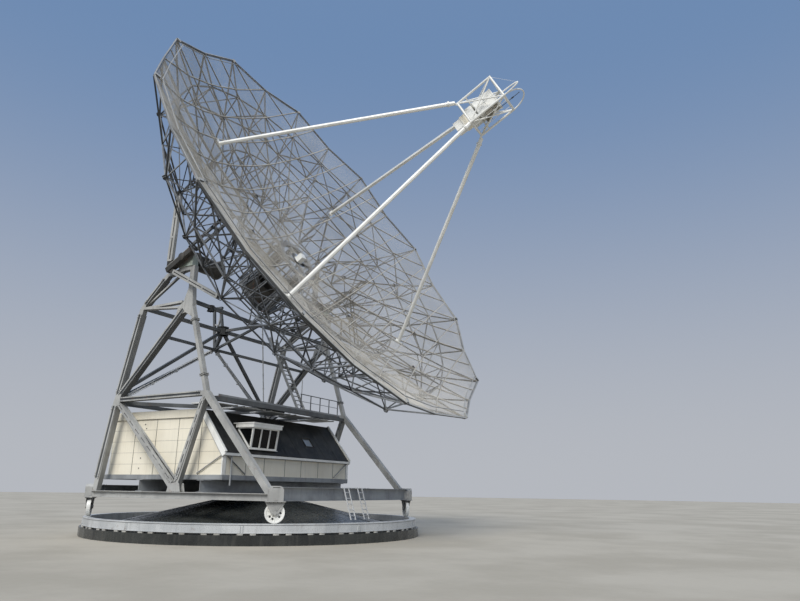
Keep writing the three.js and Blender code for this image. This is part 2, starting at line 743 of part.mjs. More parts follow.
function makeWheels(parent) {
  const half = WHEEL_WIDTH / 2;
  const bore = roundHole(AXLE_RADIUS, AXLE_SIDES);
  const profile = [[bore, -half], [WHEEL_RADIUS, -half], [WHEEL_RADIUS, half], [bore, half], [bore, -half]];
  CORNERS.forEach((corner) => {
    const { out, centre } = cornerFrame(corner);
    const turn = new THREE.Group();
    turn.position.copy(centre).setZ(AXLE_Z);
    turn.quaternion.setFromUnitVectors(v(0, 0, 1), out);
    addPart(turn, `wheel_${corner.name}`, MATERIALS.white, lathe(profile, AXLE_SIDES));
    parent.add(turn);
  });
}

// Cabin

// The outer line of the sloping roof front, from the eave to the flat roof
const SLOPE_LOW = [CABIN_FRONT + EAVE_OVERHANG, EAVE_Z];
const SLOPE_HIGH = [RIDGE_X, ROOF_Z + ROOF_THICK];
const slopeX = (z) => SLOPE_LOW[0]
  + ((SLOPE_HIGH[0] - SLOPE_LOW[0]) * (z - SLOPE_LOW[1])) / (SLOPE_HIGH[1] - SLOPE_LOW[1]);

// The line just under the sloping roof slab, which the walls reach
const SLOPE_RUN = (SLOPE_LOW[0] - SLOPE_HIGH[0]) / (SLOPE_HIGH[1] - SLOPE_LOW[1]);
const underX = (z) => slopeX(z) - SLOPE_OFFSET - 2 * SEAT;
const underZ = (x) => SLOPE_LOW[1] + (SLOPE_LOW[0] - SLOPE_OFFSET - 2 * SEAT - x) / SLOPE_RUN;

function makeCabinShell(parent) {
  const y = CABIN_HALF_WIDTH;
  addPart(parent, 'cabin_floor', MATERIALS.beam, box(
    v(CABIN_DECK_REAR, -y, FLOOR_BOTTOM),
    v(CABIN_FRONT, y, FLOOR_TOP),
  ));
  const base = FLOOR_TOP + SEAT;
  const gable = [
    [CABIN_REAR, base],
    [CABIN_FRONT, base],
    [CABIN_FRONT, underZ(CABIN_FRONT)],
    [underX(ROOF_Z - SEAT), ROOF_Z - SEAT],
    [CABIN_REAR, ROOF_Z - SEAT],
  ];
  addPart(parent, 'cabin_gable_near', MATERIALS.cream, plateXZ(gable, -y, -y + WALL));
  addPart(parent, 'cabin_gable_far', MATERIALS.cream, plateXZ(gable, y - WALL, y));
  const inner = y - WALL - SEAT;
  addPart(parent, 'cabin_front_wall', MATERIALS.cream, plateXZ([
    [CABIN_FRONT - WALL, base],
    [CABIN_FRONT, base],
    [CABIN_FRONT, underZ(CABIN_FRONT)],
    [CABIN_FRONT - WALL, underZ(CABIN_FRONT - WALL)],
  ], -inner, inner));
  const doorTop = FLOOR_TOP + DOOR_HEIGHT;
  addPart(parent, 'cabin_rear_wall', MATERIALS.cream, plateYZ(
    [[-inner, base], [-DOOR_HALF, base], [-DOOR_HALF, doorTop], [DOOR_HALF, doorTop], [DOOR_HALF, base],
      [inner, base], [inner, ROOF_Z - SEAT], [-inner, ROOF_Z - SEAT]],
    CABIN_REAR,
    CABIN_REAR + WALL,
  ));
  addPart(parent, 'cabin_door', MATERIALS.cream, box(
    v(CABIN_REAR + DOOR_INSET[0], -DOOR_HALF + SEAT, base),
    v(CABIN_REAR + DOOR_INSET[1], DOOR_HALF - SEAT, doorTop - SEAT),
  ));
}

function makeRoof(parent) {
  const y = CABIN_HALF_WIDTH + VERGE;
  const eaveBottom = EAVE_Z - SLOPE_OFFSET / SLOPE_RUN;
  const section = [
    [CABIN_REAR - VERGE, ROOF_Z],
    [slopeX(ROOF_Z) - SLOPE_OFFSET, ROOF_Z],
    [SLOPE_LOW[0], eaveBottom],
    SLOPE_LOW,
    SLOPE_HIGH,
    [CABIN_REAR - VERGE, ROOF_Z + ROOF_THICK],
  ];
  const shell = plateXZ(section, -y, y);
  const dormerHole = box(
    v(0, DORMER_Y[0] + DORMER_WALL, DORMER_BOTTOM + DORMER_SILL),
    v(FAR, DORMER_Y[1] - DORMER_WALL, DORMER_TOP - 150),
  );
  const lightHole = box(v(0, LIGHT_Y[0], LIGHT_Z[0]), v(FAR, LIGHT_Y[1], LIGHT_Z[1]));
  addPart(parent, 'cabin_roof', MATERIALS.black, shell.subtract(dormerHole).subtract(lightHole));
  const [low, high] = LIGHT_Z;
  const [back, front] = LIGHT_INSET;
  const lightPane = plateXZ([
    [slopeX(low) - back, low + SEAT],
    [slopeX(low) - front, low + SEAT],
    [slopeX(high) - front, high - SEAT],
    [slopeX(high) - back, high - SEAT],
  ], LIGHT_Y[0] + SEAT, LIGHT_Y[1] - SEAT);
  addPart(parent, 'roof_light', MATERIALS.glass, lightPane);
}

function makeDormer(parent) {
  const [y0, y1] = DORMER_Y;
  const backX = (z) => slopeX(z) + SEAT;
  const side = [
    [backX(DORMER_BOTTOM), DORMER_BOTTOM],
    [DORMER_FRONT, DORMER_BOTTOM],
    [DORMER_FRONT, DORMER_TOP],
    [backX(DORMER_TOP), DORMER_TOP],
  ];
  const wall = DORMER_WALL;
  const low = DORMER_BOTTOM + DORMER_SILL;
  const high = DORMER_TOP - RAIL_BAR;
  const body = plateXZ(side, y0, y1);
  const hollow = box(v(0, y0 + wall, low), v(DORMER_FRONT - wall, y1 - wall, high));
  const windowTop = DORMER_TOP - DORMER_HEAD;
  const sideWindow = plateXZ([
    [DORMER_FRONT - 110, DORMER_BOTTOM + 260],
    [DORMER_FRONT - 110, windowTop],
    [backX(DORMER_TOP) + 260, windowTop],
  ], y0 - wall, y1 + wall);
  const paneWidth = (y1 - y0 - (DORMER_PANES + 1) * DORMER_BAR) / DORMER_PANES;
  const panes = Array.from({ length: DORMER_PANES }, (_, i) => {
    const left = y0 + DORMER_BAR + i * (paneWidth + DORMER_BAR);
    return box(
      v(DORMER_FRONT - 2 * wall, left, low + 50),
      v(DORMER_FRONT + wall, left + paneWidth, windowTop),
    );
  });
  const lid = box(
    v(backX(DORMER_TOP) - 40, y0 - DORMER_LID_SIDE, DORMER_TOP + DORMER_LID[0]),
    v(DORMER_FRONT + DORMER_LID_FRONT, y1 + DORMER_LID_SIDE, DORMER_TOP + DORMER_LID[1]),
  );
  const [under, over] = [DORMER_BOTTOM - 1000, DORMER_TOP + 1000];
  const behind = plateXZ([
    [backX(under), under],
    [backX(over), over],
    [-FAR, over],
    [-FAR, under],
  ], -FAR, FAR);
  const dormer = union([body.subtract(hollow).subtract(sideWindow).subtract(union(panes)), lid]);
  addPart(parent, 'cabin_dormer', MATERIALS.white, dormer.subtract(behind));
  const inset = wall + SEAT;
  const glassLow = low + SEAT;
  const glassHigh = high - SEAT;
  const glassBack = (z) => backX(z) + 20;
  const glassSide = [
    [glassBack(glassLow), glassLow],
    [DORMER_FRONT - inset, glassLow],
    [DORMER_FRONT - inset, glassHigh],
    [glassBack(glassHigh), glassHigh],
  ];
  const inner = inset + DORMER_GLASS;
  const core = box(v(0, y0 + inner, glassLow - 10), v(DORMER_FRONT - inner, y1 - inner, glassHigh + 10));
  addPart(parent, 'dormer_glass', MATERIALS.glass, plateXZ(glassSide, y0 + inset, y1 - inset).subtract(core));
}

function makeLadder(parent, name, y) {
  const face = BEAM_OFFSET + BEAM_WIDTH / 2;
  const foot = v(face + LADDER_LEAN[0], y, RING_TOP + LADDER_BAR);
  const top = v(face + LADDER_LEAN[1], y, FRONT_BEAM_TOP + LADDER_BAR);
  const sides = [v(0, 0, 0), v(0, LADDER_WIDTH, 0)];
  const rails = sides.map((offset) => bar(
    foot.clone().add(offset),
    top.clone().add(offset),
    LADDER_RAIL,
    LADDER_BAR,
    v(0, 1, 0),
  ));
  const rungs = Array.from({ length: LADDER_RUNGS }, (_, i) => {
    const p = foot.clone().lerp(top, (i + 0.7) / (LADDER_RUNGS + 0.6));
    return bar(p, p.clone().add(sides[1]), LADDER_BAR, LADDER_BAR, v(0, 0, 1));
  });
  const seat = FRONT_BEAM_TOP + SEAT;
  const half = LADDER_BAR / 2;
  const hooks = sides.map((offset) => {
    const p = top.clone().add(offset);
    return box(v(p.x - HOOK_REACH, p.y - half, seat), v(p.x + 10, p.y + half, seat + LADDER_BAR));
  });
  addPart(parent, name, MATERIALS.white, union([...rails, ...rungs, ...hooks]));
}

// Dish, in its own frame: X up the dish, Y to the near side, Z along the line of sight

const surface = (r) => (r * r) / (4 * FOCAL_LENGTH);
const at = (r, phi, h) => v(r * Math.sin(phi), r * Math.cos(phi), h);
const tangent = (phi) => v(Math.cos(phi), -Math.sin(phi), 0);
const CHORD_TOP = -SKIN_THICK - 0.5;
const onTop = (r, phi) => at(r, phi, surface(r) + CHORD_TOP);
const DOWN = (depth) => v(0, 0, -depth);

// The flat trusses are made in the plane of X and Z and then turned about the line of sight to their place
const turned = (solid, phi) => solid.rotate([0, 0, 90 - THREE.MathUtils.radToDeg(phi)]);
const chordMiddle = (r) => [r, surface(r) + CHORD_TOP - CHORD_DEPTH / 2];

// The lines of a polygon's sides, each moved to the left of its direction by its own distance
function shiftedLines(points, distances) {
  return points.map(([x, z], i) => {
    const [nextX, nextZ] = points[(i + 1) % points.length];
    const length = Math.hypot(nextX - x, nextZ - z);
    const along = [(nextX - x) / length, (nextZ - z) / length];
    return { point: [x - along[1] * distances[i], z + along[0] * distances[i]], along };
  });
}

function crossing(one, other) {
  const [dx, dz] = [other.point[0] - one.point[0], other.point[1] - one.point[1]];
  const cross = one.along[0] * other.along[1] - one.along[1] * other.along[0];
  const t = (dx * other.along[1] - dz * other.along[0]) / cross;
  return [one.point[0] + one.along[0] * t, one.point[1] + one.along[1] * t];
}

// A triangular panel of a truss as a hole: its sides run counter-clockwise and move in by half a bar
function panelHole(points, halfWidths) {
  const lines = shiftedLines(points, halfWidths);
  return lines.map((line, i) => crossing(lines[(i + lines.length - 1) % lines.length], line));
}

// A flat truss under the surface: top chord radii, back nodes from inside to outside, panels as node pairs
function flatTruss(topRadii, back, panels, thick) {
  const top = topRadii.map(chordMiddle);
  const node = (name) => (name[0] === 'T' ? top : back)[Number(name[1])];
  const edgeHalf = (a, b) => {
    const isWeb = a[0] !== b[0] && !(a === 'T0' && b === 'B0') && !(a === 'B0' && b === 'T0');
    const isEnd = [a, b].includes(`T${top.length - 1}`);
    return isWeb && !isEnd ? WEB / 2 : CHORD_DEPTH / 2;
  };
  const holes = panels.map((names) => panelHole(
    names.map(node),
    names.map((name, i) => edgeHalf(name, names[(i + 1) % names.length])),
  ));
  const lower = [top[0], ...back, top[top.length - 1]];
  const lines = shiftedLines(lower.slice(0, -1), lower.map(() => -CHORD_DEPTH / 2));
  lines.pop();
  const last = back[back.length - 1];
  const end = top[top.length - 1];
  lines.push(shiftedLines([last, end], [-CHORD_DEPTH / 2, 0])[0]);
  const underside = lines.slice(1).map((line, i) => crossing(lines[i], line));
  const topLine = topRadii.map((r) => [r, surface(r) + CHORD_TOP]);
  const first = lines[0].point;
  const plumb = (r) => ({ point: [r, 0], along: [0, 1] });
  const firstTop = crossing(shiftedLines(topLine, topLine.map(() => 0))[0], plumb(first[0]));
  const endLow = crossing(lines[lines.length - 1], plumb(topRadii[topRadii.length - 1]));
  const shape = [firstTop, first, ...underside, endLow, ...topLine.slice(1).reverse()];
  return plateXZ(shape, -thick / 2, thick / 2, holes);
}

const TRUSS_PANELS = [
  ['T0', 'B0', 'B1'], ['T0', 'B1', 'T1'], ['T1', 'B1', 'B2'], ['T1', 'B2', 'T2'],
  ['T2', 'B2', 'T3'], ['T3', 'B2', 'B3'], ['T3', 'B3', 'T4'], ['T4', 'B3', 'T5'],
];

function mainTruss(phi, withPost) {
  let truss = flatTruss([...TRUSS_RADII, RIM_MID_RADIUS], BACK_CHORD, TRUSS_PANELS, CHORD_WIDTH);
  if (withPost) {
    const [top, low] = [surface(CRADLE_OFFSET) + CHORD_TOP - 40, CRADLE_POST_FOOT];
    const half = CHORD_WIDTH / 2 + 20;
    const outer = CRADLE_POST_HALF;
    truss = truss.add(box(v(CRADLE_OFFSET - outer, -half, low), v(CRADLE_OFFSET + outer, half, top)));
  }
  const [r, h] = BACK_CHORD[2];
  const gusset = box(
    v(r - GUSSET_REACH, -GUSSET_HALF, h - GUSSET_DROP),
    v(r + GUSSET_REACH, GUSSET_HALF, h + GUSSET_RISE),
  );
  return turned(truss.add(gusset), phi);
}

const RIB_PANELS = [
  ['T0', 'B0', 'T1'], ['T1', 'B0', 'T2'], ['T2', 'B0', 'B1'], ['T2', 'B1', 'T3'], ['T3', 'B1', 'T4'],
];

function ribTruss(phi) {
  const back = RING_NODES.map(([r, h]) => [r * Math.cos(BAY / 2), h]);
  return turned(flatTruss([...TRUSS_RADII.slice(1), RIM_RADIUS], back, RIB_PANELS, RIB_WIDTH), phi);
}

// Ring bars of one half bay, from the main truss at phi to the rib half a bay on
function halfBay(phi, sign) {
  const ribPhi = phi + (sign * BAY) / 2;
  const inset = Math.cos(BAY / 2);
  const outward = at(1, phi + (sign * BAY) / 4, 0);
  const lean = (r, width) => outward.clone().setZ(r / (2 * FOCAL_LENGTH)).normalize().multiplyScalar(width);
  const parts = RING_NODES.flatMap(([r, h]) => {
    const trussBack = at(r, phi, h);
    return [
      chord(onTop(r, phi), onTop(r, ribPhi), lean(r, PURLIN), DOWN(PURLIN)),
      bar(trussBack, at(r * inset, ribPhi, h), RING_BAR, RING_BAR, v(0, 0, 1)),
    ];
  });
  const inward = lean(RIM_RADIUS, -RIM_BAR);
  const middle = inward.clone().multiplyScalar(0.5);
  const rim = chord(
    onTop(RIM_MID_RADIUS, phi).add(middle),
    onTop(RIM_RADIUS, ribPhi).add(middle),
    inward,
    DOWN(RIM_BAR),
  );
  return [...parts, rim];
}

function slab(phi, halfWidth) {
  const side = tangent(phi).multiplyScalar(halfWidth * 2);
  return chord(at(0, phi, FAR), at(FAR, phi, FAR), side, DOWN(2 * FAR));
}

// One bay of the back structure: a main truss, the rib half a bay on and the ring bars on both sides
function backFrame(withPost) {
  const phi = Math.PI / 2;
  const frame = union([
    mainTruss(phi, withPost),
    ribTruss(phi + BAY / 2),
    ...halfBay(phi, -1),
    ...halfBay(phi, 1),
  ]);
  const clear = frame.subtract(slab(phi - BAY / 2, RIB_WIDTH / 2 + SEAT));
  return clear.decompose().sort((a, b) => b.volume() - a.volume())[0];
}

function makeBackFrames(parent) {
  for (let bay = 0; bay < BAYS; bay += 1) {
    const turn = new THREE.Group();
    turn.rotation.z = Math.PI / 2 - bay * BAY;
    addPart(turn, `back_frame_${bay + 1}`, MATERIALS.steel, backFrame(bay % (BAYS / 2) === 0));
    parent.add(turn);
  }
}

const hubTop = () => surface(HUB_RADIUS - HUB_WALL) + CHORD_TOP - HUB_DROP;

function makeHub(parent) {
  const outer = HUB_RADIUS;
  const inner = HUB_RADIUS - HUB_WALL;
  const corner = outer / Math.cos(BAY / 2);
  const ring = (low, high) => lathe([
    [inner, low], [corner, low], [corner, high], [inner, high], [inner, low],
  ], BAYS).rotate([0, 0, THREE.MathUtils.radToDeg(BAY / 2)]);
  const topZ = hubTop();
  const postRadius = outer - HUB_CROSS;
  const posts = [0, 1, 2, 3].map((k) => {
    const angle = BAY / 2 + (k * Math.PI) / 2;
    return bar(
      at(postRadius, angle, HUB_BACK),
      at(postRadius, angle, topZ - HUB_RING_HALF),
      HUB_POST,
      HUB_POST,
      tangent(angle),
    );
  });
  const reach = inner + HUB_CROSS / 2;
  const crossZ = topZ - HUB_RING_HALF;
  const cross = [0, Math.PI / 2].map((angle) => bar(
    at(-reach, angle, crossZ),
    at(reach, angle, crossZ),
    HUB_CROSS,
    HUB_CROSS,
    v(0, 0, 1),
  ));
  addPart(parent, 'hub', MATERIALS.steel, union([
    ring(HUB_BACK - HUB_RING_HALF, HUB_BACK + HUB_RING_HALF),
    ring(topZ - 2 * HUB_RING_HALF + 20, topZ),
    ...posts,
    ...cross,
  ]));
}

const STRUT_ANGLES = [1, 3, 5, 7].map((k) => (k * Math.PI) / 4);

function strutFootBlock(phi, grow, rise) {
  const radial = FOOT_HALF_LENGTH + grow;
  const a = onTop(STRUT_FOOT_RADIUS - radial, phi);
  const b = onTop(STRUT_FOOT_RADIUS + radial, phi);
  a.z += rise;
  b.z += rise;
  return chord(a, b, tangent(phi).multiplyScalar(2 * (FOOT_HALF_WIDTH + grow)), DOWN(rise - SEAT));
}

// The openings of one facet as plumb cutters: its corners in plan, and the openings across it and outwards
function facetOpenings(innerA, innerB, outerA, outerB, [across, outwards]) {
  const spot = (s, t) => {
    const inner = innerA.clone().lerp(innerB, s);
    const p = inner.lerp(outerA.clone().lerp(outerB, s), t);
    return [p.x, p.y];
  };
  const cutters = [];
  for (let i = 0; i < across; i += 1) {
    for (let j = 0; j < outwards; j += 1) {
      const [s0, s1] = [i / across, (i + 1) / across];
      const [t0, t1] = [j / outwards, (j + 1) / outwards];
      const cell = [spot(s0, t0), spot(s1, t0), spot(s1, t1), spot(s0, t1)];
      const opening = panelHole(cell, cell.map(() => SKIN_BAR_HALF));
      cutters.push(loft(
        opening.map(([x, y]) => v(x, y, -RIM_RADIUS)),
        opening.map(([x, y]) => v(x, y, RIM_RADIUS)),
      ));
    }
  }
  return cutters;
}

function makeSkins(parent) {
  const radii = [SKIN_INNER, ...TRUSS_RADII, RIM_RADIUS];
  const half = BAY / 2;
  const last = (2 * BAYS) / SKINS;
  for (let sector = 0; sector < SKINS; sector += 1) {
    const start = sector * last * half - half;
    const columns = Array.from({ length: last + 1 }, (_, i) => start + i * half);
    const rows = radii.length;
    const positions = [];
    [0, -SKIN_THICK].forEach((lower) => {
      columns.forEach((phi, c) => {
        const shift = tangent(phi).multiplyScalar(c === last ? -SEAT : 0);
        radii.forEach((r, i) => {
          const midSide = c % 2 === 1;
          const radius = i === rows - 1 && midSide ? RIM_MID_RADIUS : r;
          positions.push(at(radius, phi, surface(radius) + lower).add(shift));
        });
      });
    });
    const id = (layer, c, i) => layer * columns.length * rows + c * rows + i;
    const index = [];
    const quad = (a, b, c, d) => index.push(a, b, c, a, c, d);
    for (let c = 0; c < columns.length - 1; c += 1) {
      for (let i = 0; i < rows - 1; i += 1) {
        quad(id(0, c, i), id(0, c, i + 1), id(0, c + 1, i + 1), id(0, c + 1, i));
        quad(id(1, c, i), id(1, c + 1, i), id(1, c + 1, i + 1), id(1, c, i + 1));
      }
      quad(id(0, c, 0), id(0, c + 1, 0), id(1, c + 1, 0), id(1, c, 0));
      quad(id(0, c, rows - 1), id(1, c, rows - 1), id(1, c + 1, rows - 1), id(0, c + 1, rows - 1));
    }
    for (let i = 0; i < rows - 1; i += 1) {
      quad(id(0, 0, i), id(1, 0, i), id(1, 0, i + 1), id(0, 0, i + 1));
      quad(id(0, last, i), id(0, last, i + 1), id(1, last, i + 1), id(1, last, i));
    }
    const top = (c, i) => positions[id(0, c, i)];
    const cutters = SKIN_OPENINGS.flatMap((counts, i) => columns.slice(1).flatMap((_, c) => facetOpenings(
      top(c, i),
      top(c + 1, i),
      top(c, i + 1),
      top(c + 1, i + 1),
      counts,
    )));
    let skin = solidFrom(positions, index).subtract(union(cutters));
    STRUT_ANGLES.forEach((phi) => {
      skin = skin.subtract(strutFootBlock(phi, 1, 200));
    });
    addPart(parent, `skin_${sector + 1}`, MATERIALS.mesh, skin);
  }
}

function makeStruts(parent) {
  STRUT_ANGLES.forEach((phi, i) => {
    const foot = onTop(STRUT_FOOT_RADIUS, phi);
    const top = at(CAGE_HALF * Math.SQRT2, phi, CAGE_BACK);
    const block = strutFootBlock(phi, 0, FOOT_RISE);
    const line = tube(foot, top, STRUT_RADIUS, 8);
    const seat = v(0, 0, SEAT);
    const below = chord(
      onTop(STRUT_FOOT_RADIUS - 1000, phi).add(seat),
      onTop(STRUT_FOOT_RADIUS + 1000, phi).add(seat),
      tangent(phi).multiplyScalar(1000),
      DOWN(1000),
    );
    const capZ = CAGE_BACK - SEAT - CAP_THICK / 2;
    const [capIn, capOut] = CAP_REACH.map((reach) => at(CAGE_HALF * Math.SQRT2 + reach, phi, capZ));
    const flange = bar(capIn, capOut, CAP_WIDTH, CAP_THICK, v(0, 0, 1));
    const above = box(v(-FAR, -FAR, CAGE_BACK - SEAT), v(FAR, FAR, FAR));
    const strut = union([block, line, flange]).subtract(below).subtract(above);
    addPart(parent, `strut_${i + 1}`, MATERIALS.white, strut);
  });
}

function guardHoop(place) {
  const spots = Array.from({ length: GUARD_STEPS + 1 }, (_, i) => place((Math.PI * i) / GUARD_STEPS));
  return spots.slice(1).map((spot, i) => bar(spots[i], spot, GUARD_BAR, GUARD_BAR, v(1, 1, 0)));
}

function makeFocusCage(parent) {
  const c = CAGE_HALF - CAGE_POST / 2;
  const z0 = CAGE_BACK + CAGE_POST / 2;
  const z1 = CAGE_BACK + CAGE_LENGTH - CAGE_POST / 2;
  const corners = [[c, c], [-c, c], [-c, -c], [c, -c]];
  const parts = [];
  corners.forEach(([x, y], i) => {
    const [nx, ny] = corners[(i + 1) % 4];
    const face = v(x + nx, y + ny, 0).normalize();
    parts.push(bar(v(x, y, CAGE_BACK), v(x, y, CAGE_BACK + CAGE_LENGTH), CAGE_POST, CAGE_POST, v(1, 0, 0)));
    [z0, z1].forEach((z) => parts.push(bar(v(x, y, z), v(nx, ny, z), CAGE_POST, CAGE_POST, face)));
    parts.push(bar(v(x, y, z0), v(nx, ny, z1), CAGE_BRACE, CAGE_BRACE, face));
    parts.push(bar(v(x, y, z1), v(nx, ny, z0), CAGE_BRACE, CAGE_BRACE, face));
  });
  const [hoop, loop] = GUARD_REACHES;
  const loopHalf = GUARD_LOOP_WIDTH / 2;
  const loopX = (turn) => -c + loopHalf * (1 - Math.cos(turn));
  parts.push(...guardHoop((turn) => v(-c, c * Math.cos(turn), z1 + hoop * Math.sin(turn))));
  parts.push(...guardHoop((turn) => v(loopX(turn), c, z1 + loop * Math.sin(turn))));
  const spider = z0 + SPIDER_RISE;
  const seat = SPIDER_BAR / 2 + SEAT;
  parts.push(bar(v(c, c, spider), v(-c, -c, spider), SPIDER_BAR, SPIDER_BAR, v(0, 0, 1)));
  parts.push(bar(v(-c, c, spider), v(c, -c, spider), SPIDER_BAR, SPIDER_BAR, v(0, 0, 1)));
  addPart(parent, 'focus_cage', MATERIALS.white, union(parts));
  const half = RECEIVER_HALF;
  addPart(parent, 'receiver', MATERIALS.white, box(
    v(-half, -half, spider + seat),
    v(half, half, spider + seat + RECEIVER_LENGTH),
  ));
  const feedBlock = (size, low, high) => box(v(-size, -size, low), v(size, size, high));
  addPart(parent, 'feed', MATERIALS.cream, union([
    feedBlock(FEED_BOX_HALF, CAGE_BACK - FEED_BOX_BACK, spider - seat),
    feedBlock(FEED_HORN_HALF, CAGE_BACK - FEED_HORN_BACK, CAGE_BACK - FEED_BOX_BACK + CAP_THICK),
  ]));
}

function makeVertexBox(parent) {
  const base = hubTop() - 20 + SEAT;
  const [wide, narrow] = [VERTEX_PLATE_HALF, VERTEX_BOX_HALF];
  const plate = box(v(-wide, -wide, base), v(wide, wide, base + 30));
  const body = box(v(-narrow, -narrow, base + 20), v(narrow, narrow, base + VERTEX_BOX_HEIGHT));
  addPart(parent, 'vertex_box', MATERIALS.white, union([plate, body]));
}

function makeCradles(parent) {
  const [ringRadius, ringHeight] = RING_NODES[0];
  const seat = ringHeight - GUSSET_DROP - SEAT;
  [1, -1].forEach((sign) => {
    const y = sign * CRADLE_OFFSET;
    const beam = bar(v(0, y, CRADLE_BACK), v(0, y, CRADLE_SEAT), CRADLE_DEPTH, CRADLE_WIDTH, v(0, 1, 0));
    const props = [[1, UPPER_PROP], [-1, LOWER_PROP]].map(([side, wide]) => bar(
      v(0, y, CRADLE_BACK + CRADLE_FOOT),
      v(side * ringRadius * Math.sin(BAY), y, ringHeight),
      wide,
      PROP_THICK,
      v(0, 1, 0),
    ));
    const pin = tube(
      v(0, sign * PIN_INNER, -AXIS_BEHIND_VERTEX),
      v(0, y, -AXIS_BEHIND_VERTEX),
      TRUNNION_RADIUS,
      TRUNNION_SIDES,
    );
    const above = box(v(-FAR, -FAR, seat), v(FAR, FAR, FAR));
    const solid = union([beam, ...props, pin]).subtract(above);
    addPart(parent, sign > 0 ? 'cradle_near' : 'cradle_far', MATERIALS.steel, solid);
  });
}

// Assembly

const telescope = new THREE.Group();
makeFoundation(telescope);
makeTrackRing(telescope);
makeCentrePivot(telescope);

const carriage = new THREE.Group();
telescope.add(carriage);
makeSideBeam(carriage, 'side_beam_near', -1);
makeSideBeam(carriage, 'side_beam_far', 1);
makeCrossBeam(carriage, 'front_beam', 1);
makeCrossBeam(carriage, 'rear_beam', -1);
makeCrossGirders(carriage);
makeTower(carriage, 'tower_near', -1);
makeTower(carriage, 'tower_far', 1);
makeBearing(carriage, 'bearing_near', -1);
makeBearing(carriage, 'bearing_far', 1);
makeRearFrame(carriage);
makeMidFrame(carriage);
makePlatform(carriage);
makeWheels(carriage);
makeCabinShell(carriage);
makeRoof(carriage);
makeDormer(carriage);
makeLadder(carriage, 'ladder_left', LADDER_Y[0]);
makeLadder(carriage, 'ladder_right', LADDER_Y[1]);

const dish = new THREE.Group();
dish.position.copy(VERTEX);
const sightLine = v(Math.cos(DISH_ELEVATION), 0, Math.sin(DISH_ELEVATION));
const dishUp = v(-Math.sin(DISH_ELEVATION), 0, Math.cos(DISH_ELEVATION));
dish.quaternion.setFromRotationMatrix(new THREE.Matrix4().makeBasis(dishUp, v(0, -1, 0), sightLine));
telescope.add(dish);
makeHub(dish);
makeBackFrames(dish);
makeSkins(dish);
makeStruts(dish);
makeFocusCage(dish);
makeVertexBox(dish);
makeCradles(dish);

export default telescope;
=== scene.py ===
"""Dressed model of a steerable radio telescope, in metres and in the frame of its CAD solids.

The dish looks along +X, tilted up; its elevation axis is parallel to Y and its near side is -Y.
"""
import json
import logging
import math
import random
from collections.abc import Sequence
from dataclasses import dataclass
from enum import Enum

import bpy
from mathutils import Matrix, Vector

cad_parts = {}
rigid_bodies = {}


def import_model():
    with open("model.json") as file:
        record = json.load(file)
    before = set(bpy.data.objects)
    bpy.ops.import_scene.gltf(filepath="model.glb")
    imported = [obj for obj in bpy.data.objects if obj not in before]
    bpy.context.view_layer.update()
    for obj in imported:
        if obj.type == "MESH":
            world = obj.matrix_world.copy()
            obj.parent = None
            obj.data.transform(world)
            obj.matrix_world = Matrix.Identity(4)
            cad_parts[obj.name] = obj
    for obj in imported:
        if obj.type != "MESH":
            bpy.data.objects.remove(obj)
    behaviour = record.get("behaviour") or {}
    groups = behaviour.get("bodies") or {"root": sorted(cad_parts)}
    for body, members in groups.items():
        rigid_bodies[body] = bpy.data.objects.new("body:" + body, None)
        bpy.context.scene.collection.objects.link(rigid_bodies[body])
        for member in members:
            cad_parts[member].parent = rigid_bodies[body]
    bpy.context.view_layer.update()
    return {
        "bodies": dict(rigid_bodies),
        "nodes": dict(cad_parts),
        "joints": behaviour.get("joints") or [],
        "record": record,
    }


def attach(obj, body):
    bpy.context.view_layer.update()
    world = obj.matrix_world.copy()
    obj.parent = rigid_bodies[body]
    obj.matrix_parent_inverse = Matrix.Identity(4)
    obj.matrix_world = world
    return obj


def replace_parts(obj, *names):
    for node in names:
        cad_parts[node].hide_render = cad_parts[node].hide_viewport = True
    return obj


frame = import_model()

LOG = logging.getLogger("radio_telescope")
Colour = tuple[float, float, float]
Point = tuple[float, float]
Place = tuple[float, float, float]
Socket = bpy.types.NodeSocket
X_AXIS, Y_AXIS, Z_AXIS = Vector((1, 0, 0)), Vector((0, 1, 0)), Vector((0, 0, 1))
DISPLAY_GAMMA = 2.2
NOISE_ROUGHNESS = 0.6
PATCH_BAND, PATCH_OCTAVES = (0.38, 0.64), 5.0
STREAK_BAND, STREAK_OCTAVES, STREAK_SCALE = (0.48, 0.78), 6.0, 6.0
STREAK_STRETCH = (1.0, 1.0, 0.09)
RUST_BAND, RUST_OCTAVES, RUST_SCALE = (0.6, 0.7), 9.0, 3.1
# Normal heights over which faces that look down go into painted shade.
PAINTED_SHADE_BAND = (0.12, -0.55)
GRAIN_BAND, GRAIN_OCTAVES, BUMP_DEPTH = (0.2, 0.8), 3.0, 0.01


class Body(Enum):
    """The moving bodies of the frame that a piece can ride on."""

    BASE = "base"
    CARRIAGE = "carriage"
    DISH = "dish"


class Slot(Enum):
    """The record's material slots."""

    STEEL = "steel"
    BEAM = "beam"
    RING = "ring"
    WHITE = "white"
    MESH = "mesh"
    BLACK = "black"
    CREAM = "cream"
    BEARING = "bearing"
    GLASS = "glass"


def linear(red: int, green: int, blue: int) -> Colour:
    """Turns a display colour into the linear one that shaders use."""
    return tuple((c / 255) ** DISPLAY_GAMMA for c in (red, green, blue))


def ray(turn: float) -> Vector:
    """Gives the level direction at an angle."""
    return Vector((math.cos(turn), math.sin(turn), 0))


def oblong(half: float, low: float, high: float) -> list[Point]:
    """Gives an upright rectangle that is centred across."""
    return [(-half, low), (half, low), (half, high), (-half, high)]


def turns(count: int, shift: float = 0.0) -> list[float]:
    """Divides a full turn into equal steps."""
    return [2 * math.pi * (k + shift) / count for k in range(count)]


